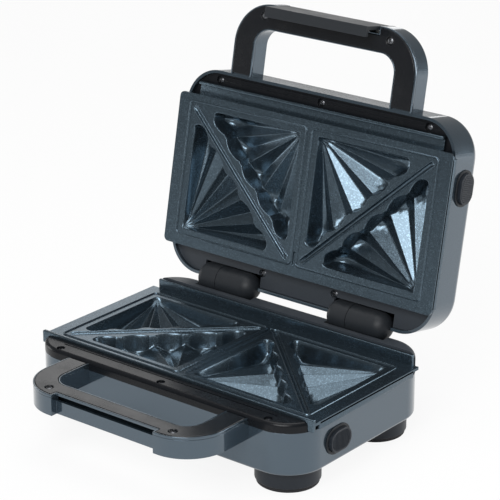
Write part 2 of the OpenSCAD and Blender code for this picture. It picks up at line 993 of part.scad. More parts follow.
module handle_shell(rise) {
    z1 = z_wall1 + rise - handle_cover_t;
    z0 = z_wall1 + rise - handle_t;
    y_wall = handle_front + recess_in;
    difference() {
        union() {
            difference() {
                prism(z0, z1)
                    handle_area(0);
                prism(z0 + handle_wall, z1 + 1)
                    handle_area(handle_wall);
            }
            box(-recess_hw - handle_wall, y_wall, z0, recess_hw + handle_wall,
                y_wall + handle_wall, z1);
            for (s = [0, 1])
                mirror([s, 0, 0]) {
                    box(recess_hw, handle_front + handle_wall / 2, z0,
                        recess_hw + handle_wall, y_wall + handle_wall, z1);
                    translate([handle_screw_x, handle_front + handle_screw_in, z0 + handle_wall / 2])
                        cylinder(h = z1 - z0 - handle_wall / 2, r = boss_r);
                    translate([handle_bolt_x, -hd - handle_wall / 2, handle_mid(rise)])
                        rotate([90, 0, 0])
                            cylinder(h = bolt_boss_l, r = bolt_boss_r);
                }
        }
        latch_recess(z0 - 1, z1 + 1);
        for (x = [-handle_bolt_x, handle_bolt_x])
            translate([x, -hd + 1, handle_mid(rise)])
                rotate([90, 0, 0])
                    cylinder(h = handle_bolt_l, r = screw_hole_r);
        for (x = [-handle_screw_x, handle_screw_x])
            translate([x, handle_front + handle_screw_in, z0 + 2 * handle_wall])
                cylinder(h = handle_t, r = screw_hole_r);
    }
}

module handle_cover(rise) {
    z1 = z_wall1 + rise;
    difference() {
        prism(z1 - handle_cover_t, z1)
            handle_area(0);
        latch_recess(z1 - handle_t, z1 + 1);
        for (x = [-handle_screw_x, handle_screw_x])
            translate([x, handle_front + handle_screw_in, z1 + cover_sink])
                screw_hole(handle_t);
    }
}

module handle_screws(rise) {
    for (x = [-handle_screw_x, handle_screw_x])
        translate([x, handle_front + handle_screw_in, z_wall1 + rise])
            screw(handle_screw_l, screw_head_r, screw_head_h - cover_sink);
}

module handle_bolts(rise) {
    for (x = [-handle_bolt_x, handle_bolt_x])
        translate([x, -hd + wall + screw_head_h, handle_mid(rise)])
            rotate([-90, 0, 0])
                screw(handle_bolt_l);
}

function handle_mid(rise) = z_wall1 + rise - handle_t + bolt_up;

module base_handle_shell() {
    z1 = z_wall1 + base_handle_rise - handle_cover_t;
    color(shell_col)
    difference() {
        handle_shell(base_handle_rise);
        box(-recess_hw, handle_front, z1 - latch_hook_h - catch_fit,
            recess_hw, handle_front + recess_in + handle_wall + 1, z1 + 1);
    }
}

module base_handle_cover() {
    color(gloss_col)
    handle_cover(base_handle_rise);
}

module base_handle_screws() {
    color(steel_col)
    handle_screws(base_handle_rise);
}

module base_handle_bolts() {
    color(steel_col)
    handle_bolts(base_handle_rise);
}

// ---------- latch ----------

latch_y = handle_front + latch_axis_in;
latch_z = z_wall1 + lid_handle_rise - handle_t + latch_axis_up;
latch_z0 = z_wall1 + lid_handle_rise - handle_t + latch_top;
latch_z1 = 2 * parting - (z_wall1 + base_handle_rise - handle_cover_t) + latch_fit;

module at_latch_axis() {
    translate([0, latch_y, latch_z])
        rotate([0, 90, 0])
            children();
}

module lid_handle_shell() {
    z0 = z_wall1 + lid_handle_rise - handle_t;
    y_wall = handle_front + recess_in;
    color(shell_col)
    on_lid()
    difference() {
        union() {
            handle_shell(lid_handle_rise);
            for (s = [-1, 1])
                difference() {
                    box(s * (lug_x + lug_w / 2 + 1 + pin_boss_w / 2) - pin_boss_w / 2, y_wall + eps,
                        z0 + handle_wall / 2,
                        s * (lug_x + lug_w / 2 + 1 + pin_boss_w / 2) + pin_boss_w / 2,
                        latch_y + lug_r, latch_z + lug_r);
                    at_latch_axis()
                        cylinder(h = body_w, r = latch_pin_r + pin_grip, center = true);
                }
        }
        for (s = [-1, 1])
            box(s * lug_x - lug_w / 2 - latch_fit, y_wall - 1, z0 + handle_wall,
                s * lug_x + lug_w / 2 + latch_fit, y_wall + handle_wall + push_fit, z0 + handle_t);
    }
}

module lid_handle_cover() {
    color(gloss_col)
    on_lid()
    handle_cover(lid_handle_rise);
}

module lid_handle_screws() {
    color(steel_col)
    on_lid()
    handle_screws(lid_handle_rise);
}

module lid_handle_bolts() {
    color(steel_col)
    on_lid()
    handle_bolts(lid_handle_rise);
}

module latch() {
    y0 = handle_front + latch_inset;
    y1 = y0 + latch_t;
    color(shell_col)
    on_lid()
    difference() {
        union() {
            box(-latch_w / 2, y0, latch_z0, latch_w / 2, y1, latch_z1 + latch_hook_h);
            box(-latch_w / 2, y1 - eps, latch_z1, latch_w / 2, y1 + latch_hook_in,
                latch_z1 + latch_hook_h);
            for (s = [-1, 1]) {
                box(s * lug_x - lug_w / 2, y1 - eps, latch_z - lug_h / 2,
                    s * lug_x + lug_w / 2, latch_y, latch_z + lug_h / 2);
                translate([s * lug_x - lug_w / 2, latch_y, latch_z])
                    rotate([0, 90, 0])
                        cylinder(h = lug_w, r = lug_r);
            }
        }
        at_latch_axis()
            cylinder(h = body_w, r = latch_pin_r + hinge_fit, center = true);
    }
}

module latch_pin() {
    l = 2 * (lug_x + lug_w / 2 + 1 + pin_boss_w - latch_inset);
    color(steel_col)
    on_lid()
    at_latch_axis()
        cylinder(h = l, r = latch_pin_r, center = true);
}

// two bowed leaves between the handle wall and the latch
module latch_spring() {
    y_wall = handle_front + recess_in;
    t = bow_t;
    bow = recess_in - latch_inset - latch_t - bow_gap;
    color(steel_col)
    on_lid()
    for (x = [-bow_x, bow_x])
        translate([x - bow_w / 2, y_wall, latch_z0 + 1])
            rotate([90, 0, 90])
                linear_extrude(bow_w)
                    polygon([[0, bow_l], [-t, bow_l], [-t, bow_l * 2 / 3], [-bow, bow_l / 4],
                        [-bow, t], [-bow + t, t], [-bow + t, bow_l / 4 + t],
                        [-leaf_fit, bow_l * 2 / 3 - t]]);
}

// ---------- hinges ----------

// barrel along +X with its rounded end outermost
module barrel(l, dome) {
    rotate([0, 90, 0])
        rotate_extrude() {
            square([knuckle_r, l - dome]);
            square([knuckle_r - dome, l]);
            intersection() {
                translate([knuckle_r - dome, l - dome])
                    circle(dome);
                square([knuckle_r, l]);
            }
        }
}

module pedestals(grow) {
    for (s = [-1, 1])
        box(s * hinge_x + pedestal_x0 - grow, pedestal_y0 - grow, pedestal_z0 - grow,
            s * hinge_x + pedestal_x0 + pedestal_w + grow, hd - wall + grow,
            hinge_z - knuckle_r + pedestal_sink);
}

// underside of the screw heads that hold the pedestals down on the frame
module at_hinge_screws() {
    for (s = [-1, 1])
        translate([s * hinge_x + pedestal_x0 + pedestal_w / 2, (pedestal_y0 + hd - wall) / 2,
            z_wall1 - frame_t - screw_head_h])
            children();
}

module base_hinge_knuckles() {
    x0 = -hinge_half + lid_knuckle_l + knuckle_gap;
    color(black_col)
    difference() {
        union() {
            for (s = [-1, 1])
                translate([s * hinge_x + x0, hinge_y, hinge_z])
                    barrel(base_knuckle_l, base_dome);
            pedestals(0);
        }
        for (s = [-1, 1]) {
            translate([s * hinge_x + x0 - 1, hinge_y, hinge_z])
                rotate([0, 90, 0])
                    cylinder(h = base_knuckle_l - pin_short + 2, r = hinge_pin_r + pin_grip);
        }
        at_hinge_screws()
            cylinder(h = hinge_screw_l + screw_tip_gap, r = screw_hole_r);
    }
}

module base_hinge_screws() {
    color(steel_col)
    at_hinge_screws()
        mirror([0, 0, 1])
            screw(hinge_screw_l);
}

module lid_hinge_knuckles() {
    z_arm = 2 * parting - z_wall1 + lid_frame_sink + frame_t + arm_gap;
    x1 = -hinge_half + lid_knuckle_l;
    color(black_col)
    swung()
    difference() {
        for (s = [-1, 1])
            union() {
                translate([s * hinge_x + x1, hinge_y, hinge_z])
                    rotate([0, 0, 180])
                        barrel(lid_knuckle_l, lid_dome);
                box(s * hinge_x + x1 - arm_w - arm_side, arm_y0, z_arm,
                    s * hinge_x + x1 - arm_side, hd - wall - arm_back, z_arm + arm_h);
            }
        for (s = [-1, 1])
            translate([s * hinge_x + x1 - lid_knuckle_l + 3, hinge_y, hinge_z])
                rotate([0, 90, 0])
                    cylinder(h = lid_knuckle_l, r = hinge_pin_r + hinge_fit);
    }
}

module hinge_pins() {
    x0 = -hinge_half + pin_in;
    x1 = -hinge_half + lid_knuckle_l + knuckle_gap + base_knuckle_l - pin_short;
    color(steel_col)
    for (s = [-1, 1])
        translate([s * hinge_x + x0, hinge_y, hinge_z])
            rotate([0, 90, 0])
                cylinder(h = x1 - x0, r = hinge_pin_r);
}

// ---------- buttons ----------

button_z = z_wall1 - button_up + 2;

module button_bezel() {
    translate([0, button_y, button_z])
        difference() {
            pill(button_l + 2 * bezel_w, button_h + 2 * bezel_w, hw, hw + bezel_out);
            pill(button_l + 2 * slip, button_h + 2 * slip, hw - 1, hw + bezel_out + 1);
        }
}

// cap, retaining flange and the finger that lifts the plate
module button() {
    x_flange = hw - wall - button_gap - flange_w;
    x_finger = ramp_x0 + ramp_rise + finger_gap;
    x_tip = x_finger + finger_t;
    z_low = button_z + finger_reach;
    c = ramp_x0 - z_ramp + ramp_lag;
    translate([0, button_y, button_z]) {
        pill(button_l, button_h, x_flange, hw + bezel_out + button_out);
        pill(button_l + 2 * flange_w, button_h + 2 * flange_w, x_flange, x_flange + flange_w);
    }
    translate([0, button_y + finger_w / 2, 0])
        rotate([90, 0, 0])
            linear_extrude(finger_w)
                polygon([[x_finger, button_z - 2], [x_flange + flange_w / 2, button_z - 2],
                    [x_flange + flange_w / 2, z_low], [x_tip, z_low],
                    [x_tip, x_tip - c], [x_finger, x_finger - c]]);
}

// flat spring bowed inward behind the button flange
module button_spring() {
    x_wall = hw - wall - leaf_fit;
    x_bow = hw - wall - button_gap - flange_w - leaf_gap;
    t = leaf_t;
    turn = leaf_turn * t;
    l = button_l / 2 + leaf_end;
    foot = l - leaf_foot;
    bend = l - leaf_bend;
    translate([0, button_y, button_z - leaf_down])
        linear_extrude(leaf_w)
            polygon([[x_wall, -l], [x_wall, -foot], [x_bow, -bend], [x_bow, bend],
                [x_wall, foot], [x_wall, l], [x_wall - t, l], [x_wall - t, foot - turn],
                [x_bow - t, bend - turn], [x_bow - t, turn - bend], [x_wall - t, turn - foot],
                [x_wall - t, -l]]);
}

module base_button_bezel() {
    color(black_col)
    button_bezel();
}

module base_button() {
    color(black_col)
    button();
}

module base_button_spring() {
    color(steel_col)
    button_spring();
}

module lid_button_bezel() {
    color(black_col)
    on_lid()
    button_bezel();
}

module lid_button() {
    color(black_col)
    on_lid()
    button();
}

module lid_button_spring() {
    color(steel_col)
    on_lid()
    button_spring();
}

// ---------- heating ----------

module pan(z_frame) {
    z_lip = z_frame - push_fit;
    difference() {
        union() {
            prism(z_pan - pan_t, z_lip)
                round_rect(-pan_hw, pan_front, pan_hw, pan_back, pan_r);
            prism(z_lip - pan_t, z_lip)
                round_rect(-pan_hw - pan_lip, pan_front - pan_lip,
                    pan_hw + pan_lip, pan_back + pan_lip, pan_r + pan_lip);
        }
        prism(z_pan, z_lip + 1)
            round_rect(-pan_hw + pan_t, pan_front + pan_t, pan_hw - pan_t, pan_back - pan_t,
                pan_r - pan_t);
        box(pan_hw + 2 * push_fit, button_y - finger_w / 2 - finger_fit, z_lip - 2 * pan_t,
            hw, button_y + finger_w / 2 + finger_fit, z_lip + 1);
    }
}

module base_reflector() {
    color(foil_col)
    pan(z_wall1 - frame_t);
}

module lid_reflector() {
    color(foil_col)
    on_lid()
    pan(z_wall1 - lid_frame_sink - frame_t);
}

// bent tube heater with cold pins in ceramic ends
module heater() {
    for (s = [-1, 1]) {
        translate([tube_left, s * tube_y, z_tube])
            rotate([0, 90, 0])
                cylinder(h = tube_right - tube_left, r = tube_r);
        translate([tube_right - eps, s * tube_y, z_tube])
            rotate([0, 90, 0])
                cylinder(h = insul_l, r = insul_r);
        translate([tube_right + insul_l - 2 * eps, s * tube_y, z_tube])
            rotate([0, 90, 0])
                cylinder(h = pin_l, r = pin_r);
    }
    translate([tube_left, 0, z_tube])
        rotate([0, 0, 90])
            rotate_extrude(angle = 180)
                translate([tube_y, 0])
                    circle(tube_r);
}

module heater_clips() {
    for (x = [-clip_x, clip_x], y = [-tube_y, tube_y])
        difference() {
            box(x - clip_w / 2, y - tube_r - 2, z_pan, x + clip_w / 2, y + tube_r + 2, z_tube);
            translate([x - clip_w, y, z_tube])
                rotate([0, 90, 0])
                    cylinder(h = 2 * clip_w, r = tube_r + leaf_fit);
        }
}

module base_element() {
    color(steel_col)
    heater();
}

module lid_element() {
    color(steel_col)
    on_lid()
    heater();
}

module base_element_clips() {
    color(foil_col)
    heater_clips();
}

module lid_element_clips() {
    color(foil_col)
    on_lid()
    heater_clips();
}

// sprung strips on the frame that grip the sides of a plate
module plate_clips(z_frame) {
    x1 = hw - wall - 1;
    z1 = z_face - plate_t - clip_top_gap;
    both_sides()
        translate([0, clip_y, 0])
            rotate([90, 0, 0])
                linear_extrude(clip_w)
                    polygon([[clip_face, z_frame], [x1, z_frame],
                        [x1, z_frame + clip_t], [clip_face + clip_t, z_frame + clip_t],
                        [clip_face + clip_t, z1], [clip_face, z1]]);
}

module base_plate_clips() {
    color(steel_col)
    plate_clips(z_wall1);
}

module lid_plate_clips() {
    color(steel_col)
    on_lid()
    plate_clips(z_wall1 - lid_frame_sink);
}

module thermostat() {
    color(steel_col)
    translate([0, 0, z_pan - pan_t]) {
        translate([0, 0, -stat_h])
            cylinder(h = stat_h, r = stat_r);
        box(-stat_l / 2, -stat_w / 2, -tab_t, stat_l / 2, stat_w / 2, 0);
        for (s = [-1, 1])
            box(s * tab_x - tab_t / 2, -tab_w / 2, -stat_h - tab_h,
                s * tab_x + tab_t / 2, tab_w / 2, -stat_h + tab_t);
    }
}

module thermal_fuse() {
    color(steel_col)
    translate([fuse_x, 0, z_pan - pan_t - fuse_r]) {
        rotate([0, 90, 0])
            cylinder(h = fuse_l, r = fuse_r, center = true);
        rotate([0, 90, 0])
            cylinder(h = lead_l, r = lead_r, center = true);
    }
}

module terminal_block() {
    z0 = z_wall0 + cover_t;
    color(ceramic_col)
    difference() {
        box(gland_x - block_l / 2, block_y, z0, gland_x + block_l / 2, block_y + block_w,
            z0 + block_h);
        for (i = [-1 : 1])
            translate([gland_x + i * way_pitch, block_y - 1, z0 + block_h / 2])
                rotate([-90, 0, 0])
                    cylinder(h = block_w + 2, r = way_r);
    }
}

module cord_gland() {
    color(black_col)
    translate([gland_x, 0, gland_z])
        rotate([-90, 0, 0])
            difference() {
                union() {
                    translate([0, 0, hd - wall - gland_flange_t])
                        cylinder(h = gland_flange_t, r = gland_flange_r);
                    translate([0, 0, hd - wall - eps])
                        cylinder(h = wall + gland_out, r = gland_r);
                    translate([0, 0, hd])
                        cylinder(h = gland_flange_t, r = gland_flange_r);
                }
                translate([0, 0, hd - 2 * wall - 2])
                    cylinder(h = gland_out + 4 * wall, r = gland_hole_r);
            }
}

// ---------- lid lamps ----------

module indicator_lenses() {
    color(lens_col)
    on_lid()
    for (x = [-lamp_x, lamp_x])
        translate([x, lamp_y, z_wall0 + lamp_sink])
            cylinder(h = board_z - z_wall0 - lamp_sink, r = lamp_r);
}

module indicator_board() {
    color(board_col)
    on_lid() {
        box(-board_l / 2, lamp_y - board_w / 2, board_z, board_l / 2, lamp_y + board_w / 2,
            board_z + board_t);
        for (x = [-post_x, post_x])
            translate([x, lamp_y, z_wall0 + wall])
                cylinder(h = board_z - z_wall0 - wall + eps, r = post_r);
    }
}

// ---------- output ----------

base_shell();
bottom_cover();
feet();
foot_pads();
foot_screws();
base_frame();
base_frame_screws();
base_handle_shell();
base_handle_cover();
base_handle_screws();
base_handle_bolts();
base_hinge_knuckles();
base_hinge_screws();
hinge_pins();
base_reflector();
base_element();
base_element_clips();
base_plate_clips();
thermostat();
thermal_fuse();
terminal_block();
cord_gland();
base_button_bezel();
base_button();
base_button_spring();
base_plate();
lid_shell();
lid_frame();
lid_frame_screws();
lid_handle_shell();
lid_handle_cover();
lid_handle_screws();
lid_handle_bolts();
lid_hinge_knuckles();
lid_reflector();
lid_element();
lid_element_clips();
lid_plate_clips();
indicator_lenses();
indicator_board();
lid_button_bezel();
lid_button();
lid_button_spring();
lid_plate();
latch();
latch_pin();
latch_spring();
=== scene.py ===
"""Sandwich toaster with a hinged lid: finished pieces over the fixed frame."""

import json
import math
from types import SimpleNamespace

import bmesh
import bpy
from mathutils import Matrix, Vector
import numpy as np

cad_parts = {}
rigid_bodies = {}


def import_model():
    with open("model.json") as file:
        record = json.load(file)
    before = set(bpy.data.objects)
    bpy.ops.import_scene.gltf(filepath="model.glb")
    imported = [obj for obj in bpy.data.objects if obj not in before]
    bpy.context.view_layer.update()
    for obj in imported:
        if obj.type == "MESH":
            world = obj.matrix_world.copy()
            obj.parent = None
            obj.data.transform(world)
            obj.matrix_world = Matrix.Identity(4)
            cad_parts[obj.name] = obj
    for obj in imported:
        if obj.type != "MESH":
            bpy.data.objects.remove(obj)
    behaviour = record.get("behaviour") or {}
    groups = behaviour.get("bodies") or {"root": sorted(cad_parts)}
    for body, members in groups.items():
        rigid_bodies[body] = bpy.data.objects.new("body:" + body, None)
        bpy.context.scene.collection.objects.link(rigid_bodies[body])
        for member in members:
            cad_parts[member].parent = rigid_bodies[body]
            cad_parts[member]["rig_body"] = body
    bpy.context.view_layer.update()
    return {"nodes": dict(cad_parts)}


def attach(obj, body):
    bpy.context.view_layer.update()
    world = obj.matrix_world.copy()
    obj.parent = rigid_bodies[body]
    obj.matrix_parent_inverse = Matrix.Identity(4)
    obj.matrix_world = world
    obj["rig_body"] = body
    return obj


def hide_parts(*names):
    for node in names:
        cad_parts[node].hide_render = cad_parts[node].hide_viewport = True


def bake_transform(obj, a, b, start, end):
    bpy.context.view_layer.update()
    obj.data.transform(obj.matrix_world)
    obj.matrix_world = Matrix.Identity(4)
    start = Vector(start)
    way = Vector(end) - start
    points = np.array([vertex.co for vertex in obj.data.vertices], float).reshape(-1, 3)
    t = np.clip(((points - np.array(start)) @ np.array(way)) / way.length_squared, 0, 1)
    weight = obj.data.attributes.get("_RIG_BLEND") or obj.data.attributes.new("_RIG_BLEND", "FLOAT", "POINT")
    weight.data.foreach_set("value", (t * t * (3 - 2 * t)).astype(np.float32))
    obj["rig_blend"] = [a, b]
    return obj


bl_info = {
    "name": "Sandwich toaster",
    "version": (1, 0, 0),
    "blender": (4, 5, 0),
    "location": "View3D > Sidebar > Toaster",
    "description": "Dresses the frame of a hinged sandwich toaster",
    "category": "Object",
}

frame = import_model()

# Lengths are in millimetres until a mesh goes to the frame, which is in metres.
# Base coordinates are those of the base as it stands. The lid's are the same, mirrored and swung
# open on the hinge. FACE_Z is the height of a plate's face in them.
MM = 0.001
TO_METRES = Matrix.Diagonal((MM, MM, MM, 1))
REST_SWING = math.radians(101.0)
HINGE_Y = 83.0
HINGE_Z = 71.0
LID_MIRROR = 119.0
FACE_Z = 57.0


# ---------- sizes and colours ----------


def length(label, text, default):
    """A length setting in millimetres."""
    return bpy.props.FloatProperty(name=label, description=text, default=default, min=0.0)


def colour(label, text, default):
    """A colour setting."""
    return bpy.props.FloatVectorProperty(
        name=label, description=text, default=default, subtype="COLOR", size=3, min=0.0, max=1.0
    )


class ToasterSizes(bpy.types.PropertyGroup):
    """Sizes of the finished pieces, in millimetres."""

    well_leg: length("Well leg", "Length of each straight side of a well", 86.0)
    well_depth: length("Well depth", "Depth of a well at its slanting side", 15.5)
    well_shallow: length("Corner depth", "Depth of a well at its square corner", 4.0)
    scallop_r: length("Scallop radius", "Radius of the bulges along the slanting side", 20.0)
    edge_round: length("Well edge", "Rounding of the upper edge of a well", 0.5)
    plate_t: length("Plate thickness", "Thickness of the cooking plates", 2.2)
    housing_edge: length("Housing edge", "Rounding of the small edges of the housings", 0.7)
    rim_edge: length("Rim edge", "Rounding of the edges of the black rims", 0.8)
    handle_edge: length("Handle edge", "Rounding of the edges of the handles", 1.6)
    rib_pitch: length("Button rib pitch", "Distance between the ribs of a button", 1.5)


class ToasterColours(bpy.types.PropertyGroup):
    """Colours of the finishes."""

    housing: colour("Housing", "Metallic lacquer of the housings", (0.062, 0.092, 0.12))
    gloss: colour("Gloss black", "Front rims and handle tops", (0.006, 0.007, 0.009))
    matt: colour("Matt black", "Rear of the rims, hinges and latch", (0.015, 0.018, 0.022))
    plate: colour("Plate", "Non-stick coating", (0.076, 0.107, 0.133))
    charcoal: colour("Charcoal", "Buttons and feet", (0.014, 0.018, 0.024))
    floor: colour("Floor", "Studio floor", (0.86, 0.86, 0.86))


# ---------- node trees ----------


def label_of(key):
    """The name of a socket from the name of its value."""
    return key.replace("_", " ").title()


def feed(tree, made, key, value):
    """Sets one input of a node, or links it to a flow, a socket or a node's first output."""
    if isinstance(value, Flow):
        value = value.out
    elif isinstance(value, bpy.types.Node):
        value = value.outputs[0]
    if isinstance(value, bpy.types.NodeSocket):
        tree.links.new(value, made.inputs[key])
    else:
        made.inputs[key].default_value = value


def add_node(tree, kind, settings=None, **inputs):
    """Adds a node, with its settings and the values or links of its inputs."""
    made = tree.nodes.new(kind)
    for key, value in (settings or {}).items():
        setattr(made, key, value)
    for key, value in inputs.items():
        feed(tree, made, key.replace("_", " "), value)
    return made


def add_math(tree, operation, *values):
    """Puts a Math node after these values."""
    made = add_node(tree, "ShaderNodeMath", {"operation": operation})
    for number, value in enumerate(values):
        feed(tree, made, number, value)
    return Flow(tree, made.outputs[0])


def math_method(operation):
    """A method that puts a Math node after a number and the others that it is given."""
    return lambda flow, *others: add_math(flow.tree, operation, flow, *others)


class Flow:
    """A number in a node tree that can be added, multiplied and compared."""

    __add__ = __radd__ = math_method("ADD")
    __sub__ = math_method("SUBTRACT")
    __mul__ = math_method("MULTIPLY")
    __truediv__ = math_method("DIVIDE")
    __abs__ = math_method("ABSOLUTE")
    smaller = math_method("MINIMUM")
    larger = math_method("MAXIMUM")
    soft_smaller = math_method("SMOOTH_MIN")
    soft_larger = math_method("SMOOTH_MAX")
    above = math_method("GREATER_THAN")
    floor = math_method("FLOOR")
    cos = math_method("COSINE")
    sin = math_method("SINE")

    def __init__(self, tree, out):
        self.tree = tree
        self.out = out

    def __rsub__(self, other):
        return add_math(self.tree, "SUBTRACT", other, self)

    def __rtruediv__(self, other):
        return add_math(self.tree, "DIVIDE", other, self)

    def within(self, low, high):
        return self.larger(low).smaller(high)

    def share(self):
        return self.within(0.0, 1.0)

    def root(self):
        return add_math(self.tree, "SQRT", self.larger(0.0))


def xyz(tree, x=0.0, y=0.0, z=0.0):
    """A vector from three numbers or flows."""
    return add_node(tree, "ShaderNodeCombineXYZ", X=x, Y=y, Z=z)


def split_xyz(tree, vector):
    """The three numbers of a vector."""
    split = add_node(tree, "ShaderNodeSeparateXYZ", Vector=vector)
    return [Flow(tree, out) for out in split.outputs]


def new_tree(kind, name, outputs, inputs):
    """A tree of one kind, the flows of its named inputs, and its output node."""
    tree = bpy.data.node_groups.new(name, kind)
    types = {float: "Float", int: "Int"}
    for label in outputs:
        socket_type = "NodeSocket" + ("Geometry" if label == "Geometry" else "Float")
        tree.interface.new_socket(label, in_out="OUTPUT", socket_type=socket_type)
    for key, default in inputs.items():
        label = label_of(key)
        socket_type = "NodeSocket" + types.get(type(default), label)
        socket = tree.interface.new_socket(label, in_out="INPUT", socket_type=socket_type)
        if default is not None:
            socket.default_value = default
    enter = tree.nodes.new("NodeGroupInput")
    leave = tree.nodes.new("NodeGroupOutput")
    flows = {key: Flow(tree, enter.outputs[label_of(key)]) for key in inputs}
    return tree, SimpleNamespace(**flows), leave


def shape_tree(name, **inputs):
    """A Geometry Nodes tree with named inputs."""
    return new_tree("GeometryNodeTree", name, ["Geometry"], inputs)


def end_tree(tree, geometry, material, leave):
    """Ends a tree with real geometry in its material."""
    real = add_node(tree, "GeometryNodeRealizeInstances", Geometry=geometry)
    coat = add_node(tree, "GeometryNodeSetMaterial", Geometry=real, Material=material)
    feed(tree, leave, 0, coat)
    return tree


def join(tree, *parts):
    """Joins geometries."""
    made = tree.nodes.new("GeometryNodeJoinGeometry")
    for part in reversed(parts):
        feed(tree, made, 0, part)
    return made


def placed(tree, geometry, **ways):
    """Moves, turns and scales a geometry, each by a vector."""
    return add_node(tree, "GeometryNodeTransform", Geometry=geometry, **ways)


def flipped(tree, mesh):
    """Turns faces over."""
    return add_node(tree, "GeometryNodeFlipFaces", Mesh=mesh)


def welded(tree, geometry, distance):
    """Merges points that lie within a distance."""
    return add_node(tree, "GeometryNodeMergeByDistance", Geometry=geometry, Distance=distance)


def position_of(tree):
    """The x, y and z of each point."""
    return split_xyz(tree, tree.nodes.new("GeometryNodeInputPosition"))


def set_position(tree, geometry, x, y, z):
    """Puts each point at x, y, z."""
    place = xyz(tree, x, y, z)
    return add_node(tree, "GeometryNodeSetPosition", Geometry=geometry, Position=place)


# ---------- finishes ----------

GROUPS = {}
FINISHES = {}


def shader_group(name, outputs, **inputs):
    """A shader node group with named inputs and outputs."""
    made = new_tree("ShaderNodeTree", name, outputs, inputs)
    GROUPS[name] = made[0]
    return made


def use_group(tree, name, **values):
    """Places a shared effect in a finish, and gives its outputs by name."""
    made = add_node(tree, "ShaderNodeGroup", {"node_tree": GROUPS[name]})
    for key, value in values.items():
        feed(tree, made, label_of(key), value)
    return {out.name: Flow(tree, out) for out in made.outputs}


def object_place(tree, scale):
    """Object coordinates times a scale."""
    place = tree.nodes.new("ShaderNodeTexCoord").outputs["Object"]
    settings = {"operation": "SCALE"}
    return add_node(tree, "ShaderNodeVectorMath", settings, Vector=place, Scale=scale)


def noise(tree, scale, detail=2.0, rough=0.5):
    """Noise on object coordinates."""
    made = add_node(
        tree, "ShaderNodeTexNoise",
        Vector=object_place(tree, scale), Scale=1.0, Detail=detail, Roughness=rough,
    )
    return Flow(tree, made.outputs["Fac"])


def ramp(value, low, high):
    """Stretches low..high to 0..1."""
    return ((value - low) / (high - low)).share()


def normal_of(tree):
    """The surface's normal."""
    return tree.nodes.new("ShaderNodeNewGeometry").outputs["Normal"]


def build_groups():
    """The effects that several finishes share. A size is that of one grain or patch, in mm."""
    tree, given, leave = shader_group("moulded_grain", ("Height", "Tone"), size=0.6, amount=1.0)
    per_metre = 1000.0 / given.size
    fine = noise(tree, per_metre, 3.0, 0.6)
    broad = noise(tree, per_metre * 0.23)
    feed(tree, leave, "Height", (fine - 0.5) * given.amount + 0.5)
    feed(tree, leave, "Tone", (fine * 0.6 + broad * 0.4 - 0.5) * given.amount + 0.5)

    tree, given, leave = shader_group("metal_fleck", ("Fleck", "Height"), size=0.5, share=0.3)
    place = object_place(tree, 1000.0 / given.size)
    cells = add_node(tree, "ShaderNodeTexVoronoi", Vector=place, Scale=1.0)
    split = add_node(tree, "ShaderNodeSeparateColor", Color=cells.outputs["Color"])
    chance = Flow(tree, split.outputs[0])
    near = Flow(tree, cells.outputs["Distance"])
    lit = ((given.share - chance) * 6.0).share()
    feed(tree, leave, "Fleck", lit * (1.0 - near * 1.2).share())
    feed(tree, leave, "Height", split.outputs[1])

    tree, given, leave = shader_group("handled", ("Smear",), size=30.0, amount=1.0)
    broad = noise(tree, 1000.0 / given.size, 4.0, 0.65)
    feed(tree, leave, "Smear", ramp(broad, 0.42, 0.68) * given.amount)

    tree, given, leave = shader_group("edge_wear", ("Mask",), width=0.8, amount=1.0)
    rounded = add_node(tree, "ShaderNodeBevel", {"samples": 4}, Radius=given.width * MM)
    dot = add_node(tree, "ShaderNodeVectorMath", {"operation": "DOT_PRODUCT"}, Vector=rounded)
    feed(tree, dot, 1, normal_of(tree))
    turned = 1.0 - Flow(tree, dot.outputs["Value"])
    broken = ramp(noise(tree, 700.0, 3.0, 0.7), 0.35, 0.65)
    feed(tree, leave, "Mask", (ramp(turned, 0.02, 0.12) * broken * given.amount).share())

    tree, given, leave = shader_group("settled_dust", ("Mask",), amount=0.3, size=9.0)
    up = ramp(split_xyz(tree, normal_of(tree))[2], 0.5, 1.0)
    patch = ramp(noise(tree, 1000.0 / given.size, 4.0, 0.7), 0.3, 0.75)
    feed(tree, leave, "Mask", up * patch * given.amount)

    tree, given, leave = shader_group("brushed", ("Line",), size=0.35, stretch=30.0)
    place = tree.nodes.new("ShaderNodeTexCoord").outputs["Object"]
    x, y, z = [part * (1000.0 / given.size) for part in split_xyz(tree, place)]
    along = xyz(tree, x / given.stretch, y, z)
    made = add_node(tree, "ShaderNodeTexNoise", Vector=along, Scale=1.0)
    feed(tree, leave, "Line", made.outputs["Fac"])


def mixed(tree, mask, first, second):
    """Colour mix by a mask."""
    made = add_node(tree, "ShaderNodeMix", {"data_type": "RGBA"})
    feed(tree, made, 0, mask)
    for number, value in ((6, first), (7, second)):
        feed(tree, made, number, (*value, 1.0) if isinstance(value, tuple) else value)
    return made.outputs[2]


def tinted(tint, gain):
    """A colour made lighter or darker."""
    return tuple(min(1.0, c * gain) for c in tint)


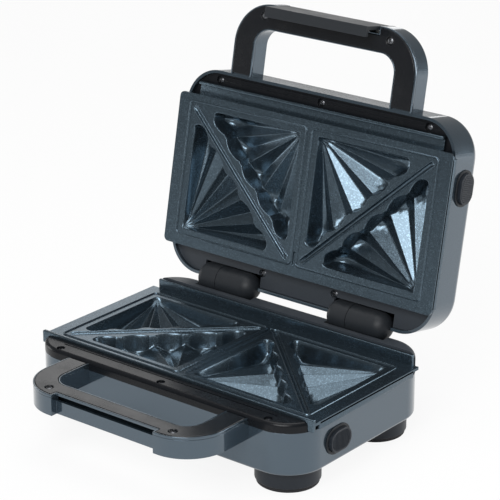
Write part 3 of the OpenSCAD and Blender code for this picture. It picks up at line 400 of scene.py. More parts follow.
def make_finish(
    name, tint, rough, metallic=0.0, coat=0.0, coat_rough=0.08, specular=0.5, clear=0.0,
    grain=0.6, grain_amount=0.5, bump=0.02, fleck=0.0, fleck_size=0.5, fleck_gain=2.5,
    smear=0.08, wear=0.0, wear_gain=3.0, dust=0.0, lines=0.0,
):
    """A finish: grain, flecks, smears, edge wear and dust over one shader."""
    material = bpy.data.materials.new(name)
    material.use_nodes = True
    tree = material.node_tree
    shader = tree.nodes["Principled BSDF"]
    for label, value in (
        ("Metallic", metallic), ("Coat Weight", coat), ("Coat Roughness", coat_rough),
        ("Transmission Weight", clear), ("Specular IOR Level", specular),
    ):
        feed(tree, shader, label, value)
    texture = use_group(tree, "moulded_grain", size=grain, amount=grain_amount)
    paint = mixed(tree, texture["Tone"], tinted(tint, 0.72), tinted(tint, 1.28))
    roughness = (texture["Tone"] - 0.5) * 0.18 + rough
    height = texture["Height"]
    if fleck:
        spots = use_group(tree, "metal_fleck", size=fleck_size, share=fleck)
        paint = mixed(tree, spots["Fleck"], paint, tinted(tint, fleck_gain))
        height = height + spots["Height"] * 0.4
    if lines:
        brushed = use_group(tree, "brushed")["Line"]
        roughness = roughness + (brushed - 0.5) * lines
        height = height + brushed * lines
    if smear:
        roughness = roughness + use_group(tree, "handled")["Smear"] * smear
    if wear:
        worn = use_group(tree, "edge_wear", amount=wear)["Mask"]
        paint = mixed(tree, worn, paint, tinted(tint, wear_gain))
        roughness = roughness + worn * 0.15
    if dust:
        film = use_group(tree, "settled_dust", amount=dust)["Mask"]
        paint = mixed(tree, film, paint, (0.42, 0.42, 0.41))
        roughness = roughness + film * 0.3
    relief = add_node(tree, "ShaderNodeBump", Strength=0.6, Distance=bump * MM, Height=height)
    feed(tree, shader, "Base Color", paint)
    feed(tree, shader, "Roughness", roughness.within(0.03, 0.95))
    feed(tree, shader, "Normal", relief)
    FINISHES[name] = material


def build_finishes(colours):
    """Every finish of the toaster: name, colour, roughness, metallic, then what differs."""
    make_finish("housing_lacquer", colours.housing, 0.14, 0.75, coat=0.8, coat_rough=0.03,
                grain=0.5, grain_amount=0.12, bump=0.002, fleck=0.2, fleck_size=0.25,
                fleck_gain=1.25, smear=0.05)
    make_finish("gloss_black", colours.gloss, 0.2, specular=0.4, grain=3.0,
                grain_amount=0.25, bump=0.003, smear=0.1, wear=0.12, dust=0.015)
    make_finish("rim_black", colours.gloss, 0.24, specular=0.2, grain=0.8,
                grain_amount=0.4, bump=0.008, wear=0.2, dust=0.01)
    make_finish("matt_black", colours.matt, 0.46, specular=0.3, grain=0.5, grain_amount=0.9, bump=0.03,
                wear=0.25, dust=0.03)
    make_finish("rear_black", tinted(colours.matt, 2.3), 0.4, specular=0.35, grain=0.5,
                grain_amount=0.9, bump=0.035, wear=0.25, dust=0.03)
    make_finish("plate_coating", colours.plate, 0.24, 0.9, grain_amount=0.9, bump=0.035,
                fleck=0.3, fleck_size=0.7, fleck_gain=2.2, smear=0.04)
    make_finish("charcoal_plastic", colours.charcoal, 0.34, specular=0.28,
                grain_amount=0.6, wear=0.3, dust=0.02)
    make_finish("foot_rubber", (0.02, 0.02, 0.022), 0.75, specular=0.3, grain=0.8,
                grain_amount=1.2, bump=0.06, smear=0.0, dust=0.1)
    make_finish("dark_screw", (0.13, 0.135, 0.145), 0.28, 0.95, grain=0.5, bump=0.01,
                wear=0.5, lines=0.15)
    make_finish("bright_steel", (0.56, 0.56, 0.55), 0.26, 1.0, grain=0.9, bump=0.01, smear=0.1,
                wear=0.2, wear_gain=1.4, lines=0.3)
    make_finish("spring_steel", (0.4, 0.4, 0.4), 0.3, 1.0, grain=0.8, bump=0.01, lines=0.3)
    make_finish("foil_tray", (0.68, 0.69, 0.7), 0.3, 1.0, grain=6.0, grain_amount=0.6,
                bump=0.12, smear=0.15, lines=0.2)
    make_finish("heater_tube", (0.2, 0.185, 0.165), 0.5, 0.9, grain=1.6, grain_amount=1.4,
                bump=0.04, smear=0.2)
    make_finish("white_ceramic", (0.78, 0.76, 0.71), 0.55, grain=0.7, grain_amount=0.4,
                bump=0.03, dust=0.2)
    make_finish("red_lens", (0.55, 0.03, 0.015), 0.12, coat=0.5, clear=0.35, grain=3.0,
                grain_amount=0.3, bump=0.01, smear=0.05)
    make_finish("board_laminate", (0.035, 0.15, 0.07), 0.4, coat=0.3, grain=0.9,
                grain_amount=0.7)


# ---------- meshes ----------


def lid_place():
    """The matrix that takes base coordinates to the open lid."""
    mirror = Matrix.Translation((0, 0, LID_MIRROR)) @ Matrix.Diagonal((1, 1, -1, 1))
    hinge = Matrix.Translation((0, HINGE_Y, HINGE_Z))
    swing = hinge @ Matrix.Rotation(-REST_SWING, 4, "X") @ hinge.inverted()
    return swing @ mirror


BASE_PLACE = Matrix.Identity(4)


def linked(name, data):
    """A new object in the scene."""
    made = bpy.data.objects.new(name, data)
    bpy.context.scene.collection.objects.link(made)
    return made


def modify(holder, kind, **settings):
    """Adds a modifier with its settings."""
    made = holder.modifiers.new(kind, kind)
    for key, value in settings.items():
        setattr(made, key, value)
    return made


def baked(holder):
    """The plain mesh that an object's modifiers make. The object is removed."""
    bpy.context.view_layer.update()
    graph = bpy.context.evaluated_depsgraph_get()
    mesh = bpy.data.meshes.new_from_object(holder.evaluated_get(graph))
    holder.modifiers.clear()
    bpy.data.objects.remove(holder)
    return mesh


def run_tree(tree, name, start=None, **values):
    """Runs a tree on a fresh object and gives back the plain mesh."""
    holder = linked(name + "_holder", start or bpy.data.meshes.new(name + "_seed"))
    modifier = modify(holder, "NODES", node_group=tree)
    values = {label_of(key): value for key, value in values.items()}
    for item in tree.interface.items_tree:
        if item.in_out == "INPUT" and item.name in values:
            modifier[item.identifier] = values[item.name]
    mesh = baked(holder)
    if not mesh.polygons:
        raise RuntimeError(name + " came out empty")
    mesh.name = name
    return mesh


def plain(work, name):
    """The plain mesh of a bmesh, which is freed."""
    mesh = bpy.data.meshes.new(name)
    work.to_mesh(mesh)
    work.free()
    return mesh


def shaded(mesh, degrees):
    """Makes faces smooth, and edges sharp above an angle."""
    mesh.shade_smooth()
    mesh.set_sharp_from_angle(angle=math.radians(degrees))
    return mesh


def to_frame(mesh, place):
    """Takes a mesh in millimetres to its place in the frame, in metres."""
    matrix = TO_METRES @ place
    mesh.transform(matrix)
    if matrix.determinant() < 0:
        mesh.flip_normals()
    return mesh


def faced_out(mesh):
    """Turns the faces of a closed mesh outwards."""
    work = bmesh.new()
    work.from_mesh(mesh)
    bmesh.ops.recalc_face_normals(work, faces=work.faces[:])
    work.to_mesh(mesh)
    work.free()
    return mesh


def together(first, second):
    """Adds the second mesh to the first."""
    work = bmesh.new()
    work.from_mesh(first)
    work.from_mesh(second)
    work.to_mesh(first)
    work.free()
    bpy.data.meshes.remove(second)
    return first


def body_of(node):
    """The body that a frame node rides on."""
    return frame["nodes"][node]["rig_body"]


def add_piece(name, mesh, finish, nodes, rides=True):
    """Puts a finished mesh in the scene, on the body of the nodes that it stands for."""
    mesh.name = name
    mesh.materials.clear()
    mesh.materials.append(FINISHES[finish])
    mesh.polygons.foreach_set("material_index", [0] * len(mesh.polygons))
    piece = linked(name, mesh)
    if rides:
        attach(piece, body_of(nodes[0]))
    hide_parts(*nodes)
    return piece


def merged(node):
    """A merged copy of a frame node, as a bmesh with flat areas joined."""
    work = bmesh.new()
    work.from_mesh(frame["nodes"][node].data)
    bmesh.ops.remove_doubles(work, verts=work.verts, dist=2e-6)
    bmesh.ops.dissolve_limit(
        work, angle_limit=math.radians(0.6), use_dissolve_boundaries=False,
        verts=work.verts, edges=work.edges,
    )
    return work


def mesh_from(work, name):
    """A plain mesh with only its shape, smooth faces and sharp edges."""
    work.normal_update()
    mesh = plain(work, name)
    keep = {"position", ".edge_verts", ".corner_vert", ".corner_edge", "material_index"}
    for attribute in [a.name for a in mesh.attributes if a.name not in keep]:
        gone = mesh.attributes.get(attribute)
        if gone is not None:
            mesh.attributes.remove(gone)
    return shaded(mesh, 32)


def softened(mesh, width, segments=2):
    """Rounds the sharp edges of a mesh."""
    holder = linked("soften", mesh)
    modify(holder, "BEVEL", width=width * MM, segments=segments, limit_method="ANGLE",
           angle_limit=math.radians(35), miter_outer="MITER_ARC")
    modify(holder, "WEIGHTED_NORMAL", keep_sharp=True, weight=60)
    return baked(holder)


def dressed(node, name, finish, width, segments=2):
    """A rounded and finished copy of a frame node."""
    mesh = mesh_from(merged(node), name)
    if width:
        mesh = softened(mesh, width, segments)
    return add_piece(name, mesh, finish, [node])


def second_finish(piece, finish, place, behind):
    """Gives the part of a piece behind a line in base coordinates another finish."""
    piece.data.materials.append(FINISHES[finish])
    back = (TO_METRES @ place).inverted()
    for face in piece.data.polygons:
        if (back @ face.center).y > behind:
            face.material_index = 1


def rounded_box(work, x0, y0, z0, x1, y1, z1, radius=0.6, segments=3):
    """Adds a box with rounded edges to a bmesh."""
    size = Vector((x1 - x0, y1 - y0, z1 - z0))
    middle = Vector((x0 + x1, y0 + y1, z0 + z1)) / 2
    place = Matrix.Translation(middle) @ Matrix.Diagonal((*size, 1))
    new = bmesh.ops.create_cube(work, size=1.0, matrix=place)["verts"]
    edges = {edge for vert in new for edge in vert.link_edges}
    bmesh.ops.bevel(
        work, geom=list(edges), offset=radius, segments=segments, profile=0.5, affect="EDGES"
    )


# ---------- handle tops ----------

# A face is a wall where the z of its normal is under this.
WALL_Z = 0.3
# How near a point is, in millimetres, to count as at the back end or at the top.
NEAR_BACK = 0.3
NEAR_TOP = 0.1


def upright(node, place):
    """A merged copy of a frame node, stood upright in base coordinates, in millimetres."""
    work = merged(node)
    matrix = (TO_METRES @ place).inverted()
    bmesh.ops.transform(work, matrix=matrix, verts=work.verts)
    if matrix.determinant() < 0:
        bmesh.ops.reverse_faces(work, faces=work.faces[:])
    work.normal_update()
    return work


def near_hole(point, holes, reach=5.0):
    """Whether a point belongs to a screw hole."""
    return any(math.hypot(point.x - x, point.y - y) < reach for x, y in holes)


def inset_top(node, place, holes, inset):
    """A handle top whose outline is drawn in all round, leaving its screw holes alone."""
    work = upright(node, place)
    moves = []
    for vert in work.verts:
        if near_hole(vert.co, holes):
            continue
        ways = []
        for normal in [face.normal for face in vert.link_faces if abs(face.normal.z) < WALL_Z]:
            if all(normal.dot(way) < 0.995 for way in ways):
                ways.append(normal.copy())
        if ways:
            mean = sum(ways, Vector()).normalized()
            shift = mean * (-inset / max(0.5, mean.dot(ways[0])))
            moves.append((vert, Vector((shift.x, shift.y, 0.0))))
    for vert, shift in moves:
        vert.co += shift
    return shaded(to_frame(plain(work, node), place), 32)


def outline_band(node, place, holes, thickness, lower):
    """A thin standing band round the outline of a node, lower than its top, as a closed mesh."""
    work = upright(node, place)
    gone = [
        face for face in work.faces
        if abs(face.normal.z) > WALL_Z or near_hole(face.calc_center_median(), holes)
    ]
    bmesh.ops.delete(work, geom=gone, context="FACES")
    back = max(vert.co.y for vert in work.verts)
    ends = [face for face in work.faces if face.calc_center_median().y > back - NEAR_BACK]
    bmesh.ops.delete(work, geom=ends, context="FACES")
    top = max(vert.co.z for vert in work.verts)
    for vert in work.verts:
        if vert.co.z > top - NEAR_TOP:
            vert.co.z -= lower
    holder = linked("band", plain(work, node + "_band"))
    modify(holder, "SOLIDIFY", thickness=thickness, offset=-1.0, use_even_offset=True)
    modify(holder, "BEVEL", width=0.3, segments=2, limit_method="ANGLE",
           angle_limit=math.radians(50))
    return shaded(faced_out(to_frame(baked(holder), place)), 35)


# ---------- plates ----------

FLUTES = 5
# The grid of a well: columns beside each end of the fan, rows over its floor, rows up its wall.
STRIP = 7
FLOOR_ROWS = 12
WALL_ROWS = 11
WALL_INSET = 3.4
FAN_EDGE = 0.029
COS45 = math.sqrt(0.5)
WELD = 0.004
WELL = {
    "leg": 86.0, "full_depth": 15.5, "corner_depth": 4.0, "scallop_radius": 20.0, "edge_round": 0.5
}
GROOVE_W = 1.6
GROOVE_POINTS = 9


def well_tree():
    """One triangular fluted well: a fan of flutes from its square corner to a scalloped side."""
    tree, given, leave = shape_tree(
        "Fluted well", **WELL, cut=4.0, scallop_setback=17.0, scallop_overrun=13.05,
        flute_slope=0.62, wall_slope=4.0, rays=300,
    )
    leg, edge, slope, rays = given.leg, given.edge_round, given.wall_slope, given.rays
    corner_depth, full_depth = given.corner_depth, given.full_depth
    across = rays + 2.0 * STRIP
    rows = FLOOR_ROWS + WALL_ROWS + 1
    grid = add_node(
        tree, "GeometryNodeMeshGrid", Size_X=1.0, Size_Y=1.0, Vertices_X=across, Vertices_Y=rows
    )
    grid_x, grid_y, _ = position_of(tree)
    column = (grid_x + 0.5) * (across - 1.0)
    row = (grid_y + 0.5) * (rows - 1.0)
    reach = (leg + given.cut) * COS45
    pitch = ((leg - given.cut) * (1.0 / COS45) + given.scallop_overrun) / FLUTES
    foot = corner_depth / slope
    centre_n = reach - given.scallop_setback
    offsets = [pitch * (i - (FLUTES - 1) / 2) for i in range(FLUTES)]
    centres = [((centre_n - t) * COS45, (centre_n + t) * COS45) for t in offsets]

    angle = FAN_EDGE + ((column - STRIP) / (rays - 1.0)).share() * (math.pi / 2 - 2 * FAN_EDGE)
    near_x = ((STRIP - column) / STRIP).share()
    near_y = ((column - (rays + (STRIP - 1.0))) / STRIP).share()
    floor_part = (row / FLOOR_ROWS).share()
    wall_part = ((row - FLOOR_ROWS) / WALL_ROWS).share()
    inset = WALL_INSET - (edge + WALL_INSET) * wall_part

    def ray_length(ray_angle, ray_inset):
        """How far a ray from the well's corner runs before its outline, inset by a distance."""
        dx, dy = ray_angle.cos(), ray_angle.sin()
        far = (reach - ray_inset - (foot + foot) * COS45) / ((dx + dy) * COS45)
        for cx, cy in centres:
            px, py = cx - foot, cy - foot
            along = px * dx + py * dy
            aside = px * dy - py * dx
            radius = given.scallop_radius - ray_inset
            square = radius * radius - aside * aside
            far = far.larger((along + square.root()) * square.above(0.0))
        end_x = (leg - ray_inset - foot) / dx.larger(0.0001)
        end_y = (leg - ray_inset - foot) / dy.larger(0.0001)
        return far.smaller(end_x).smaller(end_y)

    distance = ray_length(angle, inset) * floor_part
    ray_x = foot + distance * angle.cos()
    ray_y = foot + distance * angle.sin()
    side_run = ray_length(add_math(tree, "ADD", FAN_EDGE, 0.0), 0.0 - edge)
    outer = (distance / side_run).share() * (leg + edge * 2.0) - edge
    x = ray_x + (outer - ray_x) * near_x + (0.0 - edge - ray_x) * near_y
    y = ray_y + (outer - ray_y) * near_y + (0.0 - edge - ray_y) * near_x

    # how far each point is inside the outline, for the walls
    corner = 7.0
    inside = x.soft_smaller(y, corner).soft_smaller(leg - x, corner).soft_smaller(leg - y, corner)
    slanted = reach - (x + y) * COS45
    for cx, cy in centres:
        gap_x, gap_y = x - cx, y - cy
        slanted = slanted.larger(given.scallop_radius - (gap_x * gap_x + gap_y * gap_y).root())
    inside = inside.soft_smaller(slanted, 4.0)

    # the depth of the fluted floor: each flute falls from the corner, and its sides rise
    fall = (full_depth - corner_depth) / reach
    floor_z = None
    for t in offsets:
        end_x, end_y = (reach - t) * COS45, (reach + t) * COS45
        size = (end_x * end_x + end_y * end_y).root()
        ux, uy = end_x / size, end_y / size
        along = x * ux + y * uy
        aside = x * uy - y * ux
        side = (aside * aside + 0.25).root() - 0.5
        part = corner_depth + along * fall - side * given.flute_slope
        floor_z = part if floor_z is None else floor_z.soft_larger(part, 0.5)
    floor_z = floor_z.within(corner_depth * 0.9, full_depth)

    lip = edge * slope
    shape = (inside * slope).soft_smaller(floor_z, 2.2)
    open_edge = (shape + lip).larger(0.0)
    rounded = open_edge * open_edge / (lip * 4.0)
    below = shape.above(lip)
    z = 0.0 - (rounded * (1.0 - below) + shape * below)
    shaped = set_position(tree, grid, x, y, z)
    feed(tree, leave, 0, flipped(tree, welded(tree, shaped, WELD)))
    return tree


def profile_strip(tree, run, width, rows, height):
    """A straight strip along x with a cross-section from a rule, closed flat at its rim."""
    grid = add_node(
        tree, "GeometryNodeMeshGrid", Size_X=run, Size_Y=width, Vertices_X=60, Vertices_Y=rows
    )
    x, y, _ = position_of(tree)
    ends = ((run * 0.5 - abs(x)) / 1.2).share()
    rim = ((width * 0.5 - abs(y)) / 0.02).share()
    return set_position(tree, grid, x, y, height(y) * ends * rim)


def bump_at(y, centre, half, size):
    """A round bump or groove of half-width half about centre."""
    gap = (y - centre) / half
    return (1.0 - gap * gap).larger(0.0).root() * size


def diagonal_section(y):
    """The cross-section of the diagonal: a groove between two beads."""
    beads = [bump_at(y, centre, 0.5, 0.7) for centre in (2.2, -2.2)]
    return bump_at(y, 0.0, 1.7, -1.4) + beads[0] + beads[1]


def slot_section(y):
    """The cross-section of the short slot between the cells."""
    return bump_at(y, 0.0, 1.1, -1.4)


def plate_tree(well):
    """A cooking plate: four wells, their grooves and the flat face between them, in millimetres."""
    tree, given, leave = shape_tree(
        "Cooking plate", **WELL, thickness=2.2, half_width=132.0, front=-63.0, back=64.5,
        corner_radius=0.6, cell_inner=9.0, cell_outer=114.0, cell_front=-51.0, cell_back=48.0,
        material=None,
    )

    def at(geometry, x, y, **ways):
        """A geometry moved to x, y."""
        return placed(tree, geometry, Translation=xyz(tree, x, y), **ways)

    def frame_curve(width, height, x, y, radius):
        """A rectangle with round corners."""
        quad = add_node(
            tree, "GeometryNodeCurvePrimitiveQuadrilateral", Width=width, Height=height
        )
        settings = {"mode": "POLY"}
        filleted = add_node(
            tree, "GeometryNodeFilletCurve", settings, Curve=quad, Count=6, Radius=radius
        )
        return at(filleted, x, y)

    one = add_node(tree, "GeometryNodeGroup", {"node_tree": well})
    for key in WELL:
        feed(tree, one, label_of(key), getattr(given, key))
    near = at(one, given.cell_inner, given.cell_front)
    far = at(one, given.cell_outer, given.cell_back, Rotation=(0, 0, math.pi))

    gap_x, gap_y = 7.0, 6.0
    left, right = given.cell_inner - gap_x, given.cell_outer + gap_x
    front, back = given.cell_front - gap_y, given.cell_back + gap_y
    mid_x, mid_y = (left + right) * 0.5, (front + back) * 0.5
    span_x, span_y = right - left, back - front
    path = frame_curve(span_x - GROOVE_W, span_y - GROOVE_W, mid_x, mid_y, 3.2)
    line = add_node(
        tree, "GeometryNodeMeshLine", Count=GROOVE_POINTS,
        Start_Location=(-GROOVE_W / 2, 0, 0), Offset=(GROOVE_W / (GROOVE_POINTS - 1), 0, 0),
    )
    px, _, _ = position_of(tree)
    cut = set_position(tree, line, px, bump_at(px, 0.0, GROOVE_W / 2, -1.0), 0.0)
    profile = add_node(tree, "GeometryNodeMeshToCurve", Mesh=cut)
    groove = add_node(tree, "GeometryNodeCurveToMesh", Curve=path, Profile_Curve=profile)

    run = (span_x * span_x + span_y * span_y).root() - 14.0
    diagonal = profile_strip(tree, run, 5.6, 57, diagonal_section)
    lean = add_math(tree, "ARCTAN2", span_y, span_x)
    laid = at(diagonal, mid_x, mid_y, Rotation=xyz(tree, z=0.0 - lean))

    half = join(tree, near, far, groove, laid)
    other = flipped(tree, placed(tree, half, Scale=(-1, 1, 1)))
    slot = profile_strip(tree, 12.0, 2.4, 21, slot_section)
    slot = at(placed(tree, slot, Rotation=(0, 0, math.pi / 2)), 0.0, back - 6.0)
    shapes = join(tree, half, other, slot)
    smooth = add_node(tree, "GeometryNodeSetShadeSmooth", Geometry=shapes)

    # the flat face fills what the rims of the shapes leave open
    neighbours = tree.nodes.new("GeometryNodeInputMeshEdgeNeighbors")
    rim = add_node(tree, "FunctionNodeCompare", {"data_type": "INT", "operation": "EQUAL"})
    feed(tree, rim, 2, neighbours)
    feed(tree, rim, 3, 1)
    loops = add_node(tree, "GeometryNodeMeshToCurve", Mesh=smooth, Selection=rim)
    wide, deep = given.half_width * 2.0, given.back - given.front
    middle = (given.back + given.front) * 0.5
    outline = frame_curve(wide, deep, 0.0, middle, given.corner_radius)
    fill = add_node(tree, "GeometryNodeFillCurve", Curve=join(tree, outline, loops))
    level = add_node(tree, "GeometryNodeSetShadeSmooth", Geometry=fill, Shade_Smooth=False)
    upper = welded(tree, join(tree, smooth, level), WELD)
    lower = add_node(
        tree, "GeometryNodeExtrudeMesh", {"mode": "FACES"}, Mesh=upper, Individual=False,
        Offset=xyz(tree, z=-1.0), Offset_Scale=given.thickness,
    )
    whole = welded(tree, join(tree, upper, flipped(tree, lower)), WELD / 2)
    return end_tree(tree, whole, given.material, leave)


def plate_mesh(name, sizes, tree, front, back, corner):
    """The shaped sheet of one plate, face at z 0, in millimetres."""
    return run_tree(
        tree, name, leg=sizes.well_leg, full_depth=sizes.well_depth,
        corner_depth=sizes.well_shallow, scallop_radius=sizes.scallop_r,
        edge_round=sizes.edge_round, thickness=sizes.plate_t, front=front, back=back,
        corner_radius=corner, material=FINISHES["plate_coating"],
    )


def with_bars(mesh, boxes):
    """Adds rounded bars to a mesh."""
    bars = bmesh.new()
    for box in boxes:
        thin = min(box[3] - box[0], box[4] - box[1], box[5] - box[2])
        rounded_box(bars, *box, radius=min(0.7, 0.45 * thin))
    return together(mesh, shaded(faced_out(plain(bars, "bars")), 50))


# Heights of the bars from the face of a plate: the foot of a skirt, of a rib and of the upper
# plate's step, and a level inside the sheet.
SKIRT_Z = 50.3 - FACE_Z
RIB_Z = 50.6 - FACE_Z
STEP_Z = 47.3 - FACE_Z
SHEET_Z = -1.1


def rib_boxes():
    """The ribs under a plate's edge that its clips press on, and its side skirts."""
    boxes = []
    for side in (-1, 1):
        skirt = sorted((side * 127.6, side * 132.0))
        rib = sorted((side * 119.05, side * 120.85))
        boxes.append((skirt[0], -58.0, SKIRT_Z, skirt[1], 58.0, -0.25))
        boxes.append((rib[0], 26.0, RIB_Z, rib[1], 34.0, SHEET_Z))
    return boxes


# ---------- screws, ribs ----------


def screw_tree():
    """A pan-head screw with a cross recess on every point, along its facing attribute."""
    tree, given, leave = shape_tree(
        "Cross screws", geometry=None, head_radius=3.0, head_height=2.0, shank_radius=1.5,
        shank_length=10.0, cross_length=3.6, cross_width=0.9, material=None,
    )
    radius, height = given.head_radius, given.head_height
    body = add_node(
        tree, "GeometryNodeMeshCylinder",
        Vertices=24, Side_Segments=6, Fill_Segments=3, Radius=radius, Depth=height,
    )
    x, y, z = position_of(tree)
    out = (x * x + y * y).root() / radius
    up = (z / height + 0.5).share()
    squeeze = 1.0 - up * up * up * 0.22
    dome = (1.0 - out * out * 0.3) * height * up
    shaped = set_position(tree, body, x * squeeze, y * squeeze, dome)

    settings = {"operation": "DIFFERENCE", "solver": "MANIFOLD"}
    recess = add_node(tree, "GeometryNodeMeshBoolean", settings, Mesh_1=shaped)
    for turn in (0.0, math.pi / 2):
        size = xyz(tree, given.cross_length, given.cross_width, height)
        cube = add_node(tree, "GeometryNodeMeshCube", Size=size)
        raised = xyz(tree, z=height * 0.95)
        bar = placed(tree, cube, Rotation=(0, 0, turn), Translation=raised)
        feed(tree, recess, "Mesh 2", bar)
    shank = add_node(
        tree, "GeometryNodeMeshCylinder",
        Vertices=16, Radius=given.shank_radius, Depth=given.shank_length,
    )
    stem = placed(tree, shank, Translation=xyz(tree, z=given.shank_length * -0.5 + 0.05))

    settings = {"data_type": "FLOAT_VECTOR"}
    facing = add_node(tree, "GeometryNodeInputNamedAttribute", settings, Name="facing")
    turned = add_node(tree, "FunctionNodeAlignRotationToVector", {"axis": "Z"}, Vector=facing)
    spin = add_node(tree, "FunctionNodeRandomValue", {"data_type": "FLOAT"}, Seed=7)
    feed(tree, spin, 3, 6.28)
    twist = add_node(tree, "FunctionNodeRotateRotation", {"rotation_space": "LOCAL"})
    feed(tree, twist, 0, turned)
    feed(tree, twist, 1, xyz(tree, z=spin.outputs[1]))
    spread = add_node(
        tree, "GeometryNodeInstanceOnPoints",
        Points=given.geometry, Instance=join(tree, recess, stem), Rotation=twist,
    )
    return end_tree(tree, spread, given.material, leave)


def rib_tree():
    """Fine parallel ribs inside a pill outline, lying in the y-z plane and raised along x."""
    tree, given, leave = shape_tree(
        "Button ribs", length=21.0, height=14.0, pitch=1.5, width=0.7, rise=0.5, material=None
    )
    half, cap = given.length * 0.5, given.height * 0.5
    count = (given.length / given.pitch).floor()
    line = add_node(
        tree, "GeometryNodeMeshLine", Count=count, Offset=xyz(tree, y=given.pitch),
        Start_Location=xyz(tree, y=(count - 1.0) * given.pitch * -0.5),
    )
    rib = add_node(tree, "GeometryNodeMeshCylinder", Vertices=12, Radius=0.5, Depth=1.0)
    _, y, _ = position_of(tree)
    over = (abs(y) - (half - cap)).larger(0.0)
    chord = (cap * cap - over * over).root() * 2.0
    size = xyz(tree, given.rise * 2.0, given.width, chord)
    spread = add_node(
        tree, "GeometryNodeInstanceOnPoints", Points=line, Instance=rib, Scale=size
    )
    return end_tree(tree, spread, given.material, leave)


def with_ribs(mesh, tree, centre, place, pitch):
    """Adds ribs to the outer face of a button."""
    ribs = run_tree(tree, "ribs", pitch=pitch, material=FINISHES["charcoal_plastic"])
    to_frame(ribs, place @ Matrix.Translation(centre))
    return together(mesh, shaded(faced_out(ribs), 60))


def screws(name, node, tree, places, facing, shank):
    """Screws at their places, in millimetres, standing for one frame node."""
    seed = bpy.data.meshes.new(name + "_places")
    seed.from_pydata(places, [], [])
    way = seed.attributes.new("facing", "FLOAT_VECTOR", "POINT")
    for point in way.data:
        point.vector = facing
    mesh = run_tree(tree, name, seed, shank_length=shank, material=FINISHES["dark_screw"])
    shaded(faced_out(mesh), 38)
    mesh.transform(TO_METRES)
    return add_piece(name, mesh, "dark_screw", [node])


# ---------- operators ----------


class TOASTER_OT_housings(bpy.types.Operator):
    """Grey housings of the base and of the lid"""

    bl_idname = "toaster.housings"
    bl_label = "Housings"

    def execute(self, context):
        width = context.scene.toaster_sizes.housing_edge
        dressed("base_shell", "base_housing", "housing_lacquer", width)
        dressed("lid_shell", "lid_housing", "housing_lacquer", width)
        dressed("bottom_cover", "underside_cover", "matt_black", 0.4)
        return {"FINISHED"}


class TOASTER_OT_rims(bpy.types.Operator):
    """Black rims round both plates"""

    bl_idname = "toaster.rims"
    bl_label = "Rims"

    def execute(self, context):
        width = context.scene.toaster_sizes.rim_edge
        base = dressed("base_frame", "base_rim", "rim_black", width)
        lid = mesh_from(merged("lid_frame"), "lid_rim")
        rail = bmesh.new()
        for x0, x1 in ((-97.0, -5.0), (5.0, 97.0)):
            rounded_box(rail, x0, -76.1, 46.6, x1, -75.3, 47.45, 0.3, 2)
        rail = faced_out(to_frame(plain(rail, "rail"), lid_place()))
        rail.shade_smooth()
        lid = together(softened(lid, width), rail)
        lid = add_piece("lid_rim", lid, "rim_black", ["lid_frame"])
        second_finish(base, "rear_black", BASE_PLACE, 60.0)
        second_finish(lid, "rear_black", lid_place(), 55.0)
        return {"FINISHED"}


class TOASTER_OT_handles(bpy.types.Operator):
    """Handles of the base and of the lid, with their black tops"""

    bl_idname = "toaster.handles"
    bl_label = "Handles"

    def execute(self, context):
        width = context.scene.toaster_sizes.handle_edge
        holes = [(x, GRIP_Y) for x in GRIP_X]
        for part, place in (("base", BASE_PLACE), ("lid", lid_place())):
            shell, cover = part + "_handle_shell", part + "_handle_cover"
            body = softened(mesh_from(merged(shell), shell), width, 4)
            body = together(body, outline_band(cover, place, holes, 1.1, 0.25))
            add_piece(part + "_handle_body", body, "housing_lacquer", [shell])
            top = softened(inset_top(cover, place, holes, 1.35), 0.5, 3)
            add_piece(part + "_handle_top", top, "gloss_black", [cover])
        return {"FINISHED"}


class TOASTER_OT_plates(bpy.types.Operator):
    """Fluted cooking plates"""

    bl_idname = "toaster.plates"
    bl_label = "Cooking plates"

    def execute(self, context):
        sizes = context.scene.toaster_sizes
        tree = plate_tree(well_tree())
        low = plate_mesh("lower_cooking_plate", sizes, tree, -63.0, 64.5, 0.6)
        boxes = rib_boxes() + [
            (-132.0, -66.0, SKIRT_Z, 132.0, -62.8, 3.0),
            (-126.0, 64.3, SKIRT_Z, 126.0, 67.0, 7.5),
        ]
        raised = Matrix.Translation((0, 0, FACE_Z))
        low = to_frame(with_bars(low, boxes), raised)
        add_piece("lower_cooking_plate", low, "plate_coating", ["base_plate"])
        high = plate_mesh("upper_cooking_plate", sizes, tree, -62.0, 62.0, 4.0)
        boxes = rib_boxes() + [
            (-118.0, -62.0, STEP_Z, 118.0, -59.8, SHEET_Z),
            (-118.0, -72.0, STEP_Z, 118.0, -59.8, STEP_Z + 2.2),
            (-118.0, -72.0, STEP_Z, 118.0, -69.4, STEP_Z + 5.0),
            (-118.0, 59.8, STEP_Z, 118.0, 62.0, SHEET_Z),
        ]
        high = to_frame(with_bars(high, boxes), lid_place() @ raised)
        add_piece("upper_cooking_plate", high, "plate_coating", ["lid_plate"])
        return {"FINISHED"}


class TOASTER_OT_hinges(bpy.types.Operator):
    """Hinge blocks and their pins"""

    bl_idname = "toaster.hinges"
    bl_label = "Hinges"

    def execute(self, context):
        for part in ("base", "lid"):
            node, name = part + "_hinge_knuckles", part + "_hinge_blocks"
            dressed(node, name, "matt_black", 0.6, 3)
        dressed("hinge_pins", "hinge_pins_steel", "bright_steel", 0.3)
        return {"FINISHED"}


